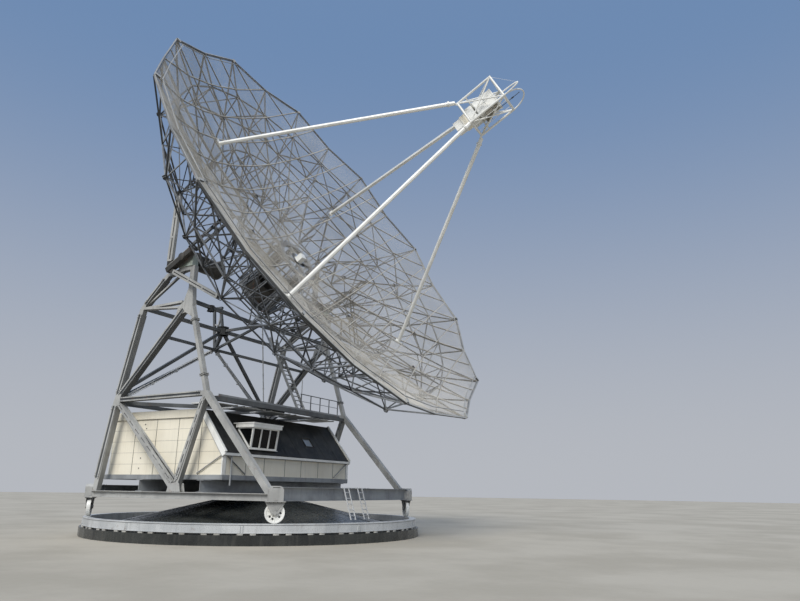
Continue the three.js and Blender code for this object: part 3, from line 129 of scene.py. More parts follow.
@dataclass(frozen=True)
class Finish:
    """A weathered surface: a base tone, a second tone in patches, rain streaks, rust specks and painted
    shade on faces that look down.
    """

    name: str
    slot: Slot
    base: Colour
    worn: Colour
    roughness: float = 0.5
    spread: float = 0.12
    metallic: float = 0.0
    patches: float = 0.7
    grain: float = 30.0
    bump: float = 0.15
    streaks: float = 0.3
    dirt: Colour = (0.09, 0.085, 0.075)
    rust: float = 0.0
    rust_tone: Colour = (0.16, 0.065, 0.03)
    # Share of painted shade on faces that look down.
    under: float = 0.0
    painted_shade_tone: Colour = (0.022, 0.023, 0.025)
    specular: float = 0.5

    def material(self) -> bpy.types.Material:
        """Builds the node material, once.

        Returns:
            The material.
        """
        made = bpy.data.materials.get(self.name)
        if made:
            return made
        made = bpy.data.materials.new(self.name)
        made.use_nodes = True
        made.diffuse_color = (*self.base, 1.0)
        tree = made.node_tree
        shader = tree.nodes["Principled BSDF"]
        shader.inputs["Metallic"].default_value = self.metallic
        shader.inputs["Specular IOR Level"].default_value = self.specular
        place = tree.nodes.new("ShaderNodeTexCoord").outputs["Object"]
        tone = self.tone(tree, place)
        tree.links.new(tone, shader.inputs["Base Color"])
        grain = self.noise(tree, place, self.grain, GRAIN_OCTAVES)
        gloss = self.band(tree, grain, *GRAIN_BAND, self.spread * 2, self.roughness - self.spread)
        tree.links.new(gloss, shader.inputs["Roughness"])
        if self.bump > 0:
            relief = tree.nodes.new("ShaderNodeBump")
            relief.inputs["Strength"].default_value = self.bump
            relief.inputs["Distance"].default_value = BUMP_DEPTH
            tree.links.new(grain, relief.inputs["Height"])
            tree.links.new(relief.outputs["Normal"], shader.inputs["Normal"])
        return made

    def tone(self, tree: bpy.types.NodeTree, place: Socket) -> Socket:
        """Mixes the patches, the rain streaks, the rust and the painted shade on the undersides.

        Args:
            tree: The material's nodes.
            place: The socket with the coordinates.

        Returns:
            The socket with the colour.
        """
        patch = self.noise(tree, place, self.patches, PATCH_OCTAVES)
        tone = self.mix(tree, self.band(tree, patch, *PATCH_BAND), self.base, self.worn)
        if self.streaks > 0:
            stretched = tree.nodes.new("ShaderNodeMapping")
            stretched.inputs["Scale"].default_value = STREAK_STRETCH
            tree.links.new(place, stretched.inputs["Vector"])
            runs = self.noise(tree, stretched.outputs["Vector"], STREAK_SCALE, STREAK_OCTAVES)
            tone = self.mix(tree, self.band(tree, runs, *STREAK_BAND, self.streaks), tone, self.dirt)
        if self.rust > 0:
            specks = self.noise(tree, place, RUST_SCALE, RUST_OCTAVES)
            tone = self.mix(tree, self.band(tree, specks, *RUST_BAND, self.rust), tone, self.rust_tone)
        # Painted shade: faces that look down, in the object's frame, are darkened towards a near-black
        # tone.
        if self.under > 0:
            facing = tree.nodes.new("ShaderNodeSeparateXYZ")
            tree.links.new(tree.nodes.new("ShaderNodeTexCoord").outputs["Normal"], facing.inputs["Vector"])
            painted_shade_share = self.band(tree, facing.outputs["Z"], *PAINTED_SHADE_BAND, self.under)
            tone = self.mix(tree, painted_shade_share, tone, self.painted_shade_tone)
        return tone

    @staticmethod
    def noise(tree: bpy.types.NodeTree, place: Socket, scale: float, detail: float) -> Socket:
        """Adds a noise texture.

        Args:
            tree: The material's nodes.
            place: The socket with the coordinates.
            scale: Features per metre.
            detail: Octaves.

        Returns:
            The socket with the noise value.
        """
        node = tree.nodes.new("ShaderNodeTexNoise")
        node.inputs["Scale"].default_value = scale
        node.inputs["Detail"].default_value = detail
        node.inputs["Roughness"].default_value = NOISE_ROUGHNESS
        tree.links.new(place, node.inputs["Vector"])
        return node.outputs["Fac"]

    @staticmethod
    def band(tree: bpy.types.NodeTree, value: Socket, low: float, high: float, gain: float = 1.0,
             base: float = 0.0) -> Socket:
        """Maps a band of a noise value to a range.

        Args:
            tree: The material's nodes.
            value: The socket with the noise value.
            low: The value that maps to the base.
            high: The value that maps to the base plus the gain.
            gain: The width of the result's range.
            base: The lowest result.

        Returns:
            The socket with the mapped value.
        """
        node = tree.nodes.new("ShaderNodeMapRange")
        node.interpolation_type = "SMOOTHSTEP"
        limits = {"From Min": low, "From Max": high, "To Min": base, "To Max": base + gain}
        for key, number in limits.items():
            node.inputs[key].default_value = number
        tree.links.new(value, node.inputs["Value"])
        return node.outputs["Result"]

    @staticmethod
    def mix(tree: bpy.types.NodeTree, share: Socket, first: Colour | Socket,
            second: Colour | Socket) -> Socket:
        """Mixes two colours.

        Args:
            tree: The material's nodes.
            share: The socket with the second colour's share.
            first: A colour or the socket with one.
            second: A colour or the socket with one.

        Returns:
            The socket with the mixed colour.
        """
        node = tree.nodes.new("ShaderNodeMix")
        node.data_type = "RGBA"
        tree.links.new(share, node.inputs["Factor"])
        for key, colour in (("A", first), ("B", second)):
            socket = next(s for s in node.inputs if s.name == key and s.type == "RGBA")
            if isinstance(colour, tuple):
                socket.default_value = (*colour, 1.0)
            else:
                tree.links.new(colour, socket)
        return next(s for s in node.outputs if s.type == "RGBA")


# under sets each finish's share of painted shade on faces that look down.
STEEL = Finish("painted_steel", Slot.STEEL, linear(178, 178, 174), linear(156, 156, 153), 0.5,
               streaks=0.3, rust=0.3, under=0.75)
# A lighter copy of the steel: painted sunlight on the ladder, the ties and the panels under the frame.
SUNLIT_STEEL = Finish("painted_sunlit_steel", Slot.STEEL, linear(222, 223, 222), linear(198, 199, 198), 0.4,
                streaks=0.25, rust=0.2, under=0.4)
# Dark steel of the bolts, and painted shade for the towers' webs and gaps and the ring's shadow line.
DARK_BOLTS_AND_SHADE = Finish("dark_bolts_and_painted_shade", Slot.STEEL, linear(80, 83, 86), linear(60, 63, 66), 0.65,
                streaks=0.4, rust=0.35, under=0.6)
FRAME = Finish("shaded_frame", Slot.STEEL, linear(104, 107, 108), linear(82, 85, 87), 0.55,
               streaks=0.4, rust=0.4, under=0.7)
LATTICE = Finish("galvanised_lattice", Slot.STEEL, linear(142, 144, 145), linear(108, 111, 114), 0.5,
                 streaks=0.35, rust=0.55, patches=1.3, under=0.8)
BEAM = Finish("grey_beam_paint", Slot.BEAM, linear(156, 159, 160), linear(132, 135, 137), 0.5,
              streaks=0.35, rust=0.3, under=0.75)
# Dark steel; on the cradles it is painted shade for faces that lie in shadow.
SHADED = Finish("dark_steel_and_painted_shade", Slot.BEAM, linear(72, 69, 64), linear(50, 49, 46), 0.6, streaks=0.3, rust=0.5)
RING = Finish("ring_paint", Slot.RING, linear(206, 208, 208), linear(184, 187, 188), 0.3, 0.08,
              metallic=0.25, streaks=0.25, rust=0.25)
PAD = Finish("grout_pads", Slot.RING, linear(190, 188, 180), linear(150, 147, 139), 0.75, streaks=0.4)
WHITE = Finish("white_paint", Slot.WHITE, linear(236, 236, 231), linear(222, 221, 214), 0.35,
               streaks=0.08, patches=1.1)
CREAM = Finish("cream_panel", Slot.CREAM, linear(236, 229, 210), linear(227, 219, 199), 0.5,
               streaks=0.12, patches=0.5)
# Cream darkened as if in shade: painted shade on the boxes under the receiver.
UNIT_SHADE = Finish("unit_casing_painted_shade", Slot.CREAM, linear(132, 126, 112), linear(104, 98, 86), 0.55, streaks=0.3)
JOINT = Finish("panel_joint", Slot.CREAM, linear(148, 145, 134), linear(122, 120, 110), 0.6)
MEMBRANE = Finish("black_membrane", Slot.BLACK, linear(40, 42, 42), linear(60, 62, 60), 0.28, 0.1,
                  patches=0.5, grain=6.0, bump=0.4, dirt=(0.12, 0.115, 0.1), streaks=0.3)
ROOFING = Finish("black_roofing", Slot.BLACK, linear(38, 37, 34), linear(52, 51, 47), 0.5, 0.1,
                 patches=0.9, grain=60.0, bump=0.2, dirt=(0.14, 0.135, 0.12), specular=0.3)
MACHINE = Finish("dark_machinery", Slot.BLACK, linear(56, 58, 58), linear(38, 39, 40), 0.5,
                 streaks=0.3, rust=0.3)
BEARING = Finish("bearing_paint", Slot.BEARING, linear(176, 186, 176), linear(150, 160, 151), 0.45,
                 streaks=0.35, rust=0.4)
WIRE = Finish("wire_mesh", Slot.MESH, linear(206, 202, 193), linear(172, 166, 153), 0.5,
              patches=0.25, streaks=0.0, rust=0.25, bump=0.0)
BATTEN = Finish("mesh_batten", Slot.MESH, linear(214, 208, 194), linear(180, 170, 152), 0.55,
                patches=0.8, rust=0.6)
# The roof light's glass in light grey: painted reflection of the sky.
SKY_REFLECTION_PANE = Finish("pane_painted_sky_reflection", Slot.GLASS, linear(128, 134, 140), linear(98, 104, 110), 0.25, 0.1,
              patches=1.2, bump=0.02, streaks=0.15)
GLASS = Finish("dark_glass", Slot.GLASS, linear(8, 10, 11), linear(16, 18, 20), 0.3, 0.05,
               patches=1.5, bump=0.02, streaks=0.04, dirt=(0.1, 0.1, 0.1), specular=0.15)
FLOOR = Finish("pale_floor", Slot.CREAM, linear(184, 176, 160), linear(170, 162, 146), 0.9,
               patches=0.15, grain=4.0, streaks=0.0)

CAD_FINISHES: dict[str, Finish] = {
    "foundation": MEMBRANE, "track_ring": RING, "centre_pivot": SHADED, "side_beam": STEEL,
    "front_beam": BEAM, "rear_beam": BEAM, "cross_girders": BEAM, "tower": STEEL, "bearing": BEARING,
    "rear_frame": FRAME, "mid_frame": FRAME, "service_platform": FRAME, "wheel": WHITE,
    "cabin_floor": BEAM, "cabin_gable": CREAM, "cabin_front": CREAM, "cabin_rear": CREAM,
    "cabin_door": CREAM, "cabin_roof": ROOFING, "roof_light": SKY_REFLECTION_PANE, "cabin_dormer": WHITE,
    "dormer_glass": GLASS, "ladder": SUNLIT_STEEL, "hub": LATTICE, "back_frame": LATTICE, "skin": WIRE,
    "strut": WHITE, "focus_cage": WHITE, "receiver": WHITE, "feed": CREAM, "vertex_box": WHITE,
    # The cradle's dark steel is painted shade.
    "cradle": SHADED,
}


def dress_cad_nodes(nodes: dict[str, bpy.types.Object]) -> None:
    """Gives every CAD node its finish by the start of its name.

    Args:
        nodes: The frame's nodes by name.
    """
    for name, node in nodes.items():
        finish = next(CAD_FINISHES[key] for key in CAD_FINISHES if name.startswith(key))
        if not node.material_slots:
            node.data.materials.append(finish.material())
        for place in node.material_slots:
            place.material = finish.material()


class Metalwork:
    """Collects the faces of one piece: bars, angles, tubes, plates and bolts."""

    def __init__(self) -> None:
        """Starts with no faces."""
        self.points: list[Vector] = []
        self.faces: list[tuple[int, ...]] = []

    def loft(self, first: list[Vector], last: list[Vector], capped: bool = True) -> None:
        """Joins two rings of the same number of points.

        Args:
            first: The first ring.
            last: The last ring.
            capped: Whether the ends are closed.
        """
        start, n = len(self.points), len(first)
        self.points += first + last
        for i in range(n):
            j = (i + 1) % n
            self.faces.append((start + i, start + j, start + n + j, start + n + i))
        if capped:
            self.faces.append(tuple(start + i for i in reversed(range(n))))
            self.faces.append(tuple(start + n + i for i in range(n)))

    @staticmethod
    def axes(a: Vector, b: Vector, normal: Vector) -> tuple[Vector, Vector]:
        """Gives the two axes of a section on the line from a to b.

        Args:
            a: The line's start.
            b: The line's end.
            normal: The direction that the second axis leans towards.

        Returns:
            The axis across the line and the one along the normal.
        """
        along = (b - a).normalized()
        across = along.cross(normal).normalized()
        return across, across.cross(along).normalized()

    def section(self, a: Vector, b: Vector, shape: Sequence[Point], normal: Vector) -> None:
        """Runs a flat section from a to b.

        Args:
            a: The start.
            b: The end.
            shape: The section's corners, across and along the normal.
            normal: The direction that the section's second axis leans towards.
        """
        across, up = self.axes(a, b, normal)
        corners = [across * s + up * t for s, t in shape]
        self.loft([a + c for c in corners], [b + c for c in corners])

    def bar(self, a: Vector, b: Vector, wide: float, thick: float, normal: Vector) -> None:
        """Adds a square-cut bar centred on a line."""
        w, t = wide / 2, thick / 2
        self.section(a, b, [(-w, -t), (w, -t), (w, t), (-w, t)], normal)

    def angle(self, a: Vector, b: Vector, leg: float, normal: Vector, thick: float = 0.008) -> None:
        """Adds an angle bar with its corner on the line's lower side.

        Args:
            a: The start.
            b: The end.
            leg: The length of each leg.
            normal: The direction of the standing leg.
            thick: The legs' thickness.
        """
        h = leg / 2
        shape = [(-h, -h), (h, -h), (h, -h + thick), (-h + thick, -h + thick), (-h + thick, h), (-h, h)]
        self.section(a, b, shape, normal)

    @staticmethod
    def helper(along: Vector, steep: float, spare: Vector) -> Vector:
        """Picks a direction that isn't along a line."""
        return Z_AXIS if abs(along.normalized().z) < steep else spare

    def tube(self, a: Vector, b: Vector, radius: float, sides: int = 8) -> None:
        """Adds a round bar.

        Args:
            a: The start.
            b: The end.
            radius: The radius.
            sides: The number of sides.
        """
        across, up = self.axes(a, b, self.helper(b - a, 0.9, X_AXIS))
        ring = [(across * math.cos(t) + up * math.sin(t)) * radius for t in turns(sides, 0.5)]
        self.loft([a + c for c in ring], [b + c for c in ring])

    def block(self, low: Place, high: Place) -> None:
        """Adds an upright block.

        Args:
            low: The lowest corner.
            high: The highest corner.
        """
        (x0, y0, z0), (x1, y1, z1) = low, high
        ring = [(x0, y0), (x1, y0), (x1, y1), (x0, y1)]
        self.loft([Vector((x, y, z0)) for x, y in ring], [Vector((x, y, z1)) for x, y in ring])

    def plate(self, corners: list[Vector], thickness: Vector) -> None:
        """Adds a flat plate."""
        self.loft(corners, [c + thickness for c in corners])

    def panel(self, origin: Vector, across: Vector, up: Vector, outline: Sequence[Point],
              thickness: Vector) -> None:
        """Adds a flat plate by its outline in two directions."""
        self.plate([origin + across * x + up * y for x, y in outline], thickness)

    def bolt(self, centre: Vector, axis: Vector, radius: float = 0.022, height: float = 0.018) -> None:
        """Adds a hexagon bolt head."""
        self.tube(centre, centre + axis.normalized() * height, radius, 6)

    def hoop(self, points: list[Vector], radius: float, sides: int = 8) -> None:
        """Adds a bent round bar along points.

        Args:
            points: The centre line.
            radius: The bar's radius.
            sides: The number of sides.
        """
        n, start = len(points), len(self.points)
        for i, p in enumerate(points):
            along = (points[min(i + 1, n - 1)] - points[max(i - 1, 0)]).normalized()
            across = along.cross(self.helper(along, 0.8, Y_AXIS)).normalized()
            up = across.cross(along)
            self.points += [p + (across * math.cos(t) + up * math.sin(t)) * radius for t in turns(sides)]
        for row in range(start, start + (n - 1) * sides, sides):
            for k in range(sides):
                m = (k + 1) % sides
                self.faces.append((row + k, row + m, row + sides + m, row + sides + k))
        self.faces.append(tuple(start + k for k in reversed(range(sides))))
        self.faces.append(tuple(start + (n - 1) * sides + k for k in range(sides)))

    def turned(self, profile: Sequence[Point], centre: Vector, axis: Vector, sides: int = 32) -> None:
        """Turns a closed profile round an axis.

        Args:
            profile: Radii and heights along the axis, as a closed loop.
            centre: The axis's origin.
            axis: The axis's direction.
            sides: The number of sides.
        """
        across, up = self.axes(centre, centre + axis, self.helper(axis, 0.9, X_AXIS))
        start, n = len(self.points), len(profile)
        for turn in turns(sides):
            out = across * math.cos(turn) + up * math.sin(turn)
            self.points += [centre + out * r + axis.normalized() * h for r, h in profile]
        for k in range(sides):
            m = (k + 1) % sides
            for i in range(n):
                j = (i + 1) % n
                self.faces.append((start + k * n + i, start + k * n + j,
                                   start + m * n + j, start + m * n + i))

    def piece(self, name: str, finish: Finish, body: str, smooth: float = 35.0) -> bpy.types.Object:
        """Makes the Blender object, dresses it and lets it ride.

        Args:
            name: The piece's name.
            finish: Its finish.
            body: The body it rides on.
            smooth: The angle in degrees under which an edge is shaded smooth.

        Returns:
            The object.
        """
        mesh = bpy.data.meshes.new(name)
        mesh.from_pydata([tuple(p) for p in self.points], [], self.faces)
        mesh.validate()
        mesh.polygons.foreach_set("use_smooth", [True] * len(mesh.polygons))
        mesh.set_sharp_from_angle(angle=math.radians(smooth))
        mesh.materials.append(finish.material())
        made = bpy.data.objects.new(name, mesh)
        bpy.context.scene.collection.objects.link(made)
        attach(made, body)
        LOG.info("%s: %d faces on %s", name, len(self.faces), body)
        return made


@dataclass(frozen=True)
class Viewpoint:
    """The camera of the photograph, fitted to the object."""

    place: Place = (24.117, -28.73, 2.244)
    yaw: float = 28.79
    pitch: float = 15.742
    roll: float = 0.808
    focal_pixels: float = 672.665
    image_width: int = 800
    sensor: float = 36.0
    reach: float = 1000.0

    def build(self) -> None:
        """Makes the camera and sets it as the scene's own."""
        a, b, c = (math.radians(t) for t in (self.yaw, self.pitch, self.roll))
        ahead = Vector((-math.sin(a) * math.cos(b), math.cos(a) * math.cos(b), math.sin(b)))
        right = Vector((math.cos(a), math.sin(a), 0))
        up = right.cross(ahead)
        tilted_right = right * math.cos(c) + up * math.sin(c)
        tilted_up = up * math.cos(c) - right * math.sin(c)
        turn = Matrix((tilted_right, tilted_up, -ahead)).transposed().to_4x4()
        data = bpy.data.cameras.new("viewpoint")
        data.sensor_width = self.sensor
        data.lens = self.focal_pixels * self.sensor / self.image_width
        data.clip_end = self.reach
        camera = bpy.data.objects.new("viewpoint", data)
        camera.matrix_world = Matrix.Translation(self.place) @ turn
        bpy.context.scene.collection.objects.link(camera)
        bpy.context.scene.camera = camera


@dataclass(frozen=True)
class Studio:
    """A plain pale floor, a soft backdrop that darkens upwards and one wide key light."""

    floor_radius: float = 220.0
    floor_sides: int = 96
    floor_depth: float = 0.05
    horizon: Colour = (0.46, 0.48, 0.52)
    zenith: Colour = (0.155, 0.255, 0.44)
    zenith_height: float = 0.62
    backdrop_strength: float = 1.0
    key_from: Place = (0.17, -0.69, 0.7)
    key_tone: Colour = (1.0, 0.975, 0.93)
    key_energy: float = 3.2
    key_angle: float = 32.0

    def build(self) -> None:
        """Makes the floor, the backdrop and the key light."""
        bpy.context.scene.view_settings.view_transform = "Standard"
        self._floor()
        self._backdrop()
        self._key()

    def _floor(self) -> None:
        """Lays the round floor."""
        floor = Metalwork()
        ring = [ray(t) * self.floor_radius for t in turns(self.floor_sides)]
        floor.loft([p - Z_AXIS * self.floor_depth for p in ring], ring)
        mesh = bpy.data.meshes.new("floor")
        mesh.from_pydata([tuple(p) for p in floor.points], [], floor.faces)
        mesh.materials.append(FLOOR.material())
        made = bpy.data.objects.new("floor", mesh)
        bpy.context.scene.collection.objects.link(made)

    def _backdrop(self) -> None:
        """Grades the world's tone from the horizon to the zenith."""
        world = bpy.data.worlds.new("studio")
        world.use_nodes = True
        tree = world.node_tree
        place = tree.nodes.new("ShaderNodeTexCoord").outputs["Generated"]
        split = tree.nodes.new("ShaderNodeSeparateXYZ")
        tree.links.new(place, split.inputs["Vector"])
        share = Finish.band(tree, split.outputs["Z"], 0.0, self.zenith_height)
        tone = Finish.mix(tree, share, self.horizon, self.zenith)
        background = tree.nodes["Background"]
        tree.links.new(tone, background.inputs["Color"])
        background.inputs["Strength"].default_value = self.backdrop_strength
        bpy.context.scene.world = world

    def _key(self) -> None:
        """Hangs the wide key light."""
        data = bpy.data.lights.new("key_light", "SUN")
        data.energy = self.key_energy
        data.angle = math.radians(self.key_angle)
        data.color = self.key_tone
        light = bpy.data.objects.new("key_light", data)
        light.rotation_mode = "QUATERNION"
        light.rotation_quaternion = Vector(self.key_from).to_track_quat("Z", "Y")
        bpy.context.scene.collection.objects.link(light)


@dataclass(frozen=True)
class Plinth:
    """The round base: membrane seams, the ring's lip, its pads and its bolted joints."""

    seams: int = 16
    cone: tuple[Point, ...] = ((7.6, 0.41), (6.1, 0.75), (1.3, 1.85))
    seam_width: float = 0.06
    seam_height: float = 0.012
    pads: int = 72
    pad_size: tuple[float, float, float] = (0.24, 0.05, 0.055)
    ring_outer: float = 8.26
    ring_bottom: float = 0.47
    ring_top: float = 0.85
    ring_sides: int = 48
    plinth_top: float = 0.41
    ring_joints: int = 10
    lip: tuple[float, float] = (0.045, 0.02)
    pad_outline: tuple[Point, ...] = ((-1, -1), (0.7, -1), (1.3, -0.6), (1.3, 0.6), (0.7, 1), (-1, 1))
    pad_pairing: float = 0.14
    anchor: float = 0.014
    lug_shift: float = 0.05
    lug_bolts: tuple[float, ...] = (-0.1, 0.0, 0.1)
    lug: Point = (0.02, 0.09)

    def build(self) -> None:
        """Makes the pieces on the fixed base."""
        self._seams()
        self._pads()
        self._ring_lips()
        self._ring_joints()

    def _seams(self) -> None:
        """Lays a welded seam strip on the membrane's folds."""
        seam = Metalwork()
        for out in map(ray, turns(self.seams, 0.5)):
            for (r0, z0), (r1, z1) in zip(self.cone, self.cone[1:]):
                a, b = out * (r0 - 0.02) + Z_AXIS * z0, out * (r1 + 0.02) + Z_AXIS * z1
                seam.bar(a, b, self.seam_width, self.seam_height * 2, Z_AXIS)
        seam.piece("membrane_seams", MEMBRANE, Body.BASE.value)

    def _pads(self) -> None:
        """Sets the ring on its pads, two by two, with an anchor bolt by each."""
        pad, bolt = Metalwork(), Metalwork()
        length, deep, height = self.pad_size
        for k in range(self.pads):
            out = ray(2 * math.pi * (k + self.pad_pairing * (1 if k % 2 else -1)) / self.pads)
            side = Z_AXIS.cross(out)
            low = out * (self.ring_outer - 0.03) + Z_AXIS * self.plinth_top
            pad.panel(low, out * deep, side * length / 2, self.pad_outline, Z_AXIS * (height - 0.003))
            bolt.bolt(low + side * length * 0.75, Z_AXIS, self.anchor, height + 0.004)
        pad.piece("ring_pads", PAD, Body.BASE.value)
        bolt.piece("ring_anchor_bolts", SHADED, Body.BASE.value)

    def _hoop(self, work: Metalwork, height: float, deep: float, proud: float) -> None:
        """Runs a flat hoop round the ring's outer face.

        Args:
            work: The piece being made.
            height: The hoop's middle.
            deep: Its height.
            proud: How far it stands out.
        """
        bite = 0.004
        spots = [ray(t) * (self.ring_outer + proud / 2 - bite) + Z_AXIS * height
                 for t in turns(self.ring_sides)]
        for a, b in zip(spots, spots[1:] + spots[:1]):
            work.bar(a, b, proud + 2 * bite, deep, Z_AXIS)

    def _ring_lips(self) -> None:
        """Adds the ring's top lip, a dark band of painted shadow under it and the foot flange."""
        lip, shadow_line = Metalwork(), Metalwork()
        deep, proud = self.lip
        self._hoop(lip, self.ring_top - deep / 2 - 0.002, deep, proud)
        self._hoop(lip, self.ring_bottom + 0.02, 0.03, proud)
        # Painted shadow: a thin dark band under the lip.
        self._hoop(shadow_line, self.ring_top - deep - 0.012, 0.016, 0.003)
        lip.piece("ring_lips", RING, Body.BASE.value)
        shadow_line.piece("ring_shadow_line", DARK_BOLTS_AND_SHADE, Body.BASE.value)

    def _ring_joints(self) -> None:
        """Adds a pair of bolted lugs where the ring's segments meet."""
        joint = Metalwork()
        middle = (self.ring_bottom + self.ring_top) / 2
        for out in map(ray, turns(self.ring_joints, 0.5)):
            side = Z_AXIS.cross(out)
            face = out * self.ring_outer * 0.9985
            for s in (-self.lug_shift, self.lug_shift):
                joint.bar(face + side * s + Z_AXIS * (self.ring_bottom + 0.05),
                          face + side * s + Z_AXIS * (self.ring_top - 0.07), *self.lug, out)
                for z in self.lug_bolts:
                    seat = face + out * 0.022 + side * s * 1.2 + Z_AXIS * (middle + z)
                    joint.bolt(seat, side * s, 0.014, 0.014)
        joint.piece("ring_splices", RING, Body.BASE.value)


@dataclass(frozen=True)
class Carriage:
    """Stiffeners and bolts on the turntable's beams, and the wheels' ribs, arms and covers."""

    beam_offset: float = 5.8
    beam_width: float = 0.3
    side_bottom: float = 1.73
    side_top: float = 2.03
    cross_top: float = 2.3
    flange: float = 0.03
    web_half: float = 0.012
    ribs: tuple[float, ...] = (-5.0, -2.5, 0.0, 1.39, 5.0)
    wheel_track: float = 8.105
    axle_height: float = 1.2653
    wheel_face: float = 0.07
    tyre: tuple[Point, ...] = ((0.405, 0.0), (0.405, 0.022), (0.35, 0.022), (0.335, 0.0))
    nave: tuple[Point, ...] = ((0.06, 0.0), (0.06, 0.03), (0.11, 0.03), (0.13, 0.0))
    spoke: tuple[float, float, float, float] = (0.11, 0.345, 0.022, 0.024)
    spokes: int = 10
    open_spokes: tuple[int, ...] = (5, 6, 8, 9)
    hole: tuple[float, float, float] = (0.31, 0.24, 0.045)
    housing: tuple[float, float, float, float] = (0.31, 0.25, 1.7, 2.34)
    jaw_bolts: tuple[float, ...] = (-0.24, -0.08, 0.08, 0.24)
    axle_boss: tuple[Point, ...] = ((0.0501, 0.0), (0.0501, 0.035), (0.085, 0.035), (0.095, 0.0))
    fork_face: float = 0.14
    fork_fan: Point = (0.36, 0.42)
    fan_start: float = 0.1
    fan_rib: Point = (0.02, 0.04)
    jaw_half: float = 0.2
    jaw_bolt: Point = (0.024, 0.03)
    cover_edge: float = 0.06
    slot_half: float = 0.15
    slot_deep: float = 0.005
    cover: float = 0.018
    cover_half: float = 0.07
    slot: Point = (0.56, 0.59)
    end_cover: Point = (0.08, 0.5)
    stiffener: float = 0.008
    bolt_reach: Point = (0.06, 0.1)

    def build(self) -> None:
        """Makes the stiffeners and the four corners."""
        self._stiffeners()
        for number, (x, y) in enumerate(((1, -1), (-1, -1), (-1, 1), (1, 1)), start=1):
            self._wheel(number, Vector((x, y, 0)).normalized())

    def _stiffeners(self) -> None:
        """Adds a plate between the flanges where a load comes down, and bolts on the flanges."""
        rib, bolt = Metalwork(), Metalwork()
        half, web = self.beam_width / 2 - 0.02, self.web_half
        for sign in (-1, 1):
            centre = sign * self.beam_offset
            low, high = sorted((centre - sign * web, centre - sign * half))
            foot = self.side_bottom + self.flange
            along, across = self.bolt_reach
            for s in self.ribs:
                start, end = s - self.stiffener, s + self.stiffener
                rib.block((start, low, foot), (end, high, self.side_top - self.flange))
                rib.block((low, start, foot), (high, end, self.cross_top - self.flange))
                for shift in (-along, along):
                    for out in (-across, across):
                        bolt.bolt(Vector((s + shift, centre + out, self.side_top)), Z_AXIS)
                        bolt.bolt(Vector((centre + out, s + shift, self.cross_top)), Z_AXIS)
        rib.piece("beam_stiffeners", BEAM, Body.CARRIAGE.value)
        bolt.piece("beam_bolts", DARK_BOLTS_AND_SHADE, Body.CARRIAGE.value)

    def _wheel(self, number: int, out: Vector) -> None:
        """Adds a wheel's rim, ribs and arms, and the bolts and covers of its housing.

        Args:
            number: The wheel's number.
            out: The direction from the centre to the wheel.
        """
        centre = out * self.wheel_track + Z_AXIS * self.axle_height
        side = Vector((-out.y, out.x, 0))
        wheel, dark = Metalwork(), Metalwork()
        for face in (-1, 1):
            axis = out * face
            seat = centre + axis * self.wheel_face
            wheel.turned(self.tyre, seat, axis)
            wheel.turned(self.nave, seat, axis, 20)
            twist, out_by, radius = self.hole
            root, tip, wide, deep = self.spoke
            middle = seat + axis * 0.01
            for k, turn in enumerate(turns(self.spokes, 0.5)):
                spoke = side * math.cos(turn) + Z_AXIS * math.sin(turn)
                wheel.bar(middle + spoke * root, middle + spoke * tip, wide, deep, axis)
                # Painted shade: dark discs stand for the shaded openings in the web.
                if k in self.open_spokes:
                    hole = seat + (side * math.cos(turn + twist) + Z_AXIS * math.sin(turn + twist)) * out_by
                    dark.tube(hole, hole + axis * 0.012, radius, 14)
        wheel.piece(f"wheel_ribs_{number}", WHITE, f"corner_wheel_{number}")
        dark.piece(f"wheel_hole_shades_{number}", MACHINE, f"corner_wheel_{number}")
        self._housing(number, out, side, centre)

    def _housing(self, number: int, out: Vector, side: Vector, centre: Vector) -> None:
        """Adds the fan of ribs on the fork, the raised bands, dark slot panels of painted shade and bolts
        on the housing.

        Args:
            number: The wheel's number.
            out: The direction from the centre to the wheel.
            side: The direction along the rim.
            centre: The wheel's centre.
        """
        work, dark = Metalwork(), Metalwork()
        half_wide, half_deep, bottom, top = self.housing
        bite = 0.002
        for face in (-1, 1):
            axis = out * face
            seat = centre + axis * self.fork_face
            work.turned(self.axle_boss, seat, axis, 16)
            lean, reach = self.fork_fan
            for k in range(-2, 3):
                rib = (side * lean * k + Z_AXIS).normalized()
                work.bar(seat + rib * self.fan_start, seat + rib * reach / rib.z, *self.fan_rib, axis)
            for s in self.jaw_bolts:
                jaw = out * (self.wheel_track + face * self.jaw_half) + side * s + Z_AXIS * bottom
                dark.bolt(jaw, -Z_AXIS, *self.jaw_bolt)
            skin = out * (self.wheel_track + face * half_deep) + Z_AXIS * bottom - axis * bite
            band = oblong(self.cover_half, self.cover_edge, top - bottom - 2 * self.cover_edge)
            work.panel(skin, side, Z_AXIS, band, axis * self.cover)
            # Painted shade: a thin dark panel stands for the shaded opening of the slot.
            dark.panel(skin, side, Z_AXIS, oblong(self.slot_half, *self.slot), axis * self.slot_deep)
        for face in (-1, 1):
            axis = side * face
            skin = out * self.wheel_track + axis * (half_wide - bite) + Z_AXIS * bottom
            work.panel(skin, out, Z_AXIS, oblong(self.cover_edge, *self.end_cover), axis * self.cover)
        work.piece(f"housing_ribs_{number}", STEEL, Body.CARRIAGE.value)
        dark.piece(f"housing_bolts_{number}", MACHINE, Body.CARRIAGE.value)


class Web(Enum):
    """How a member of the towers is made up."""

    OPEN = "open"
    TWIN = "twin"
    PLAIN = "plain"


@dataclass(frozen=True)
class Member:
    """A member of a tower: its ends in the tower's plane, its width and its make-up."""

    start: Point
    end: Point
    wide: float
    web: Web
    edges: tuple[float, float] = (0.06, 0.06)
    gap: float = 0.3


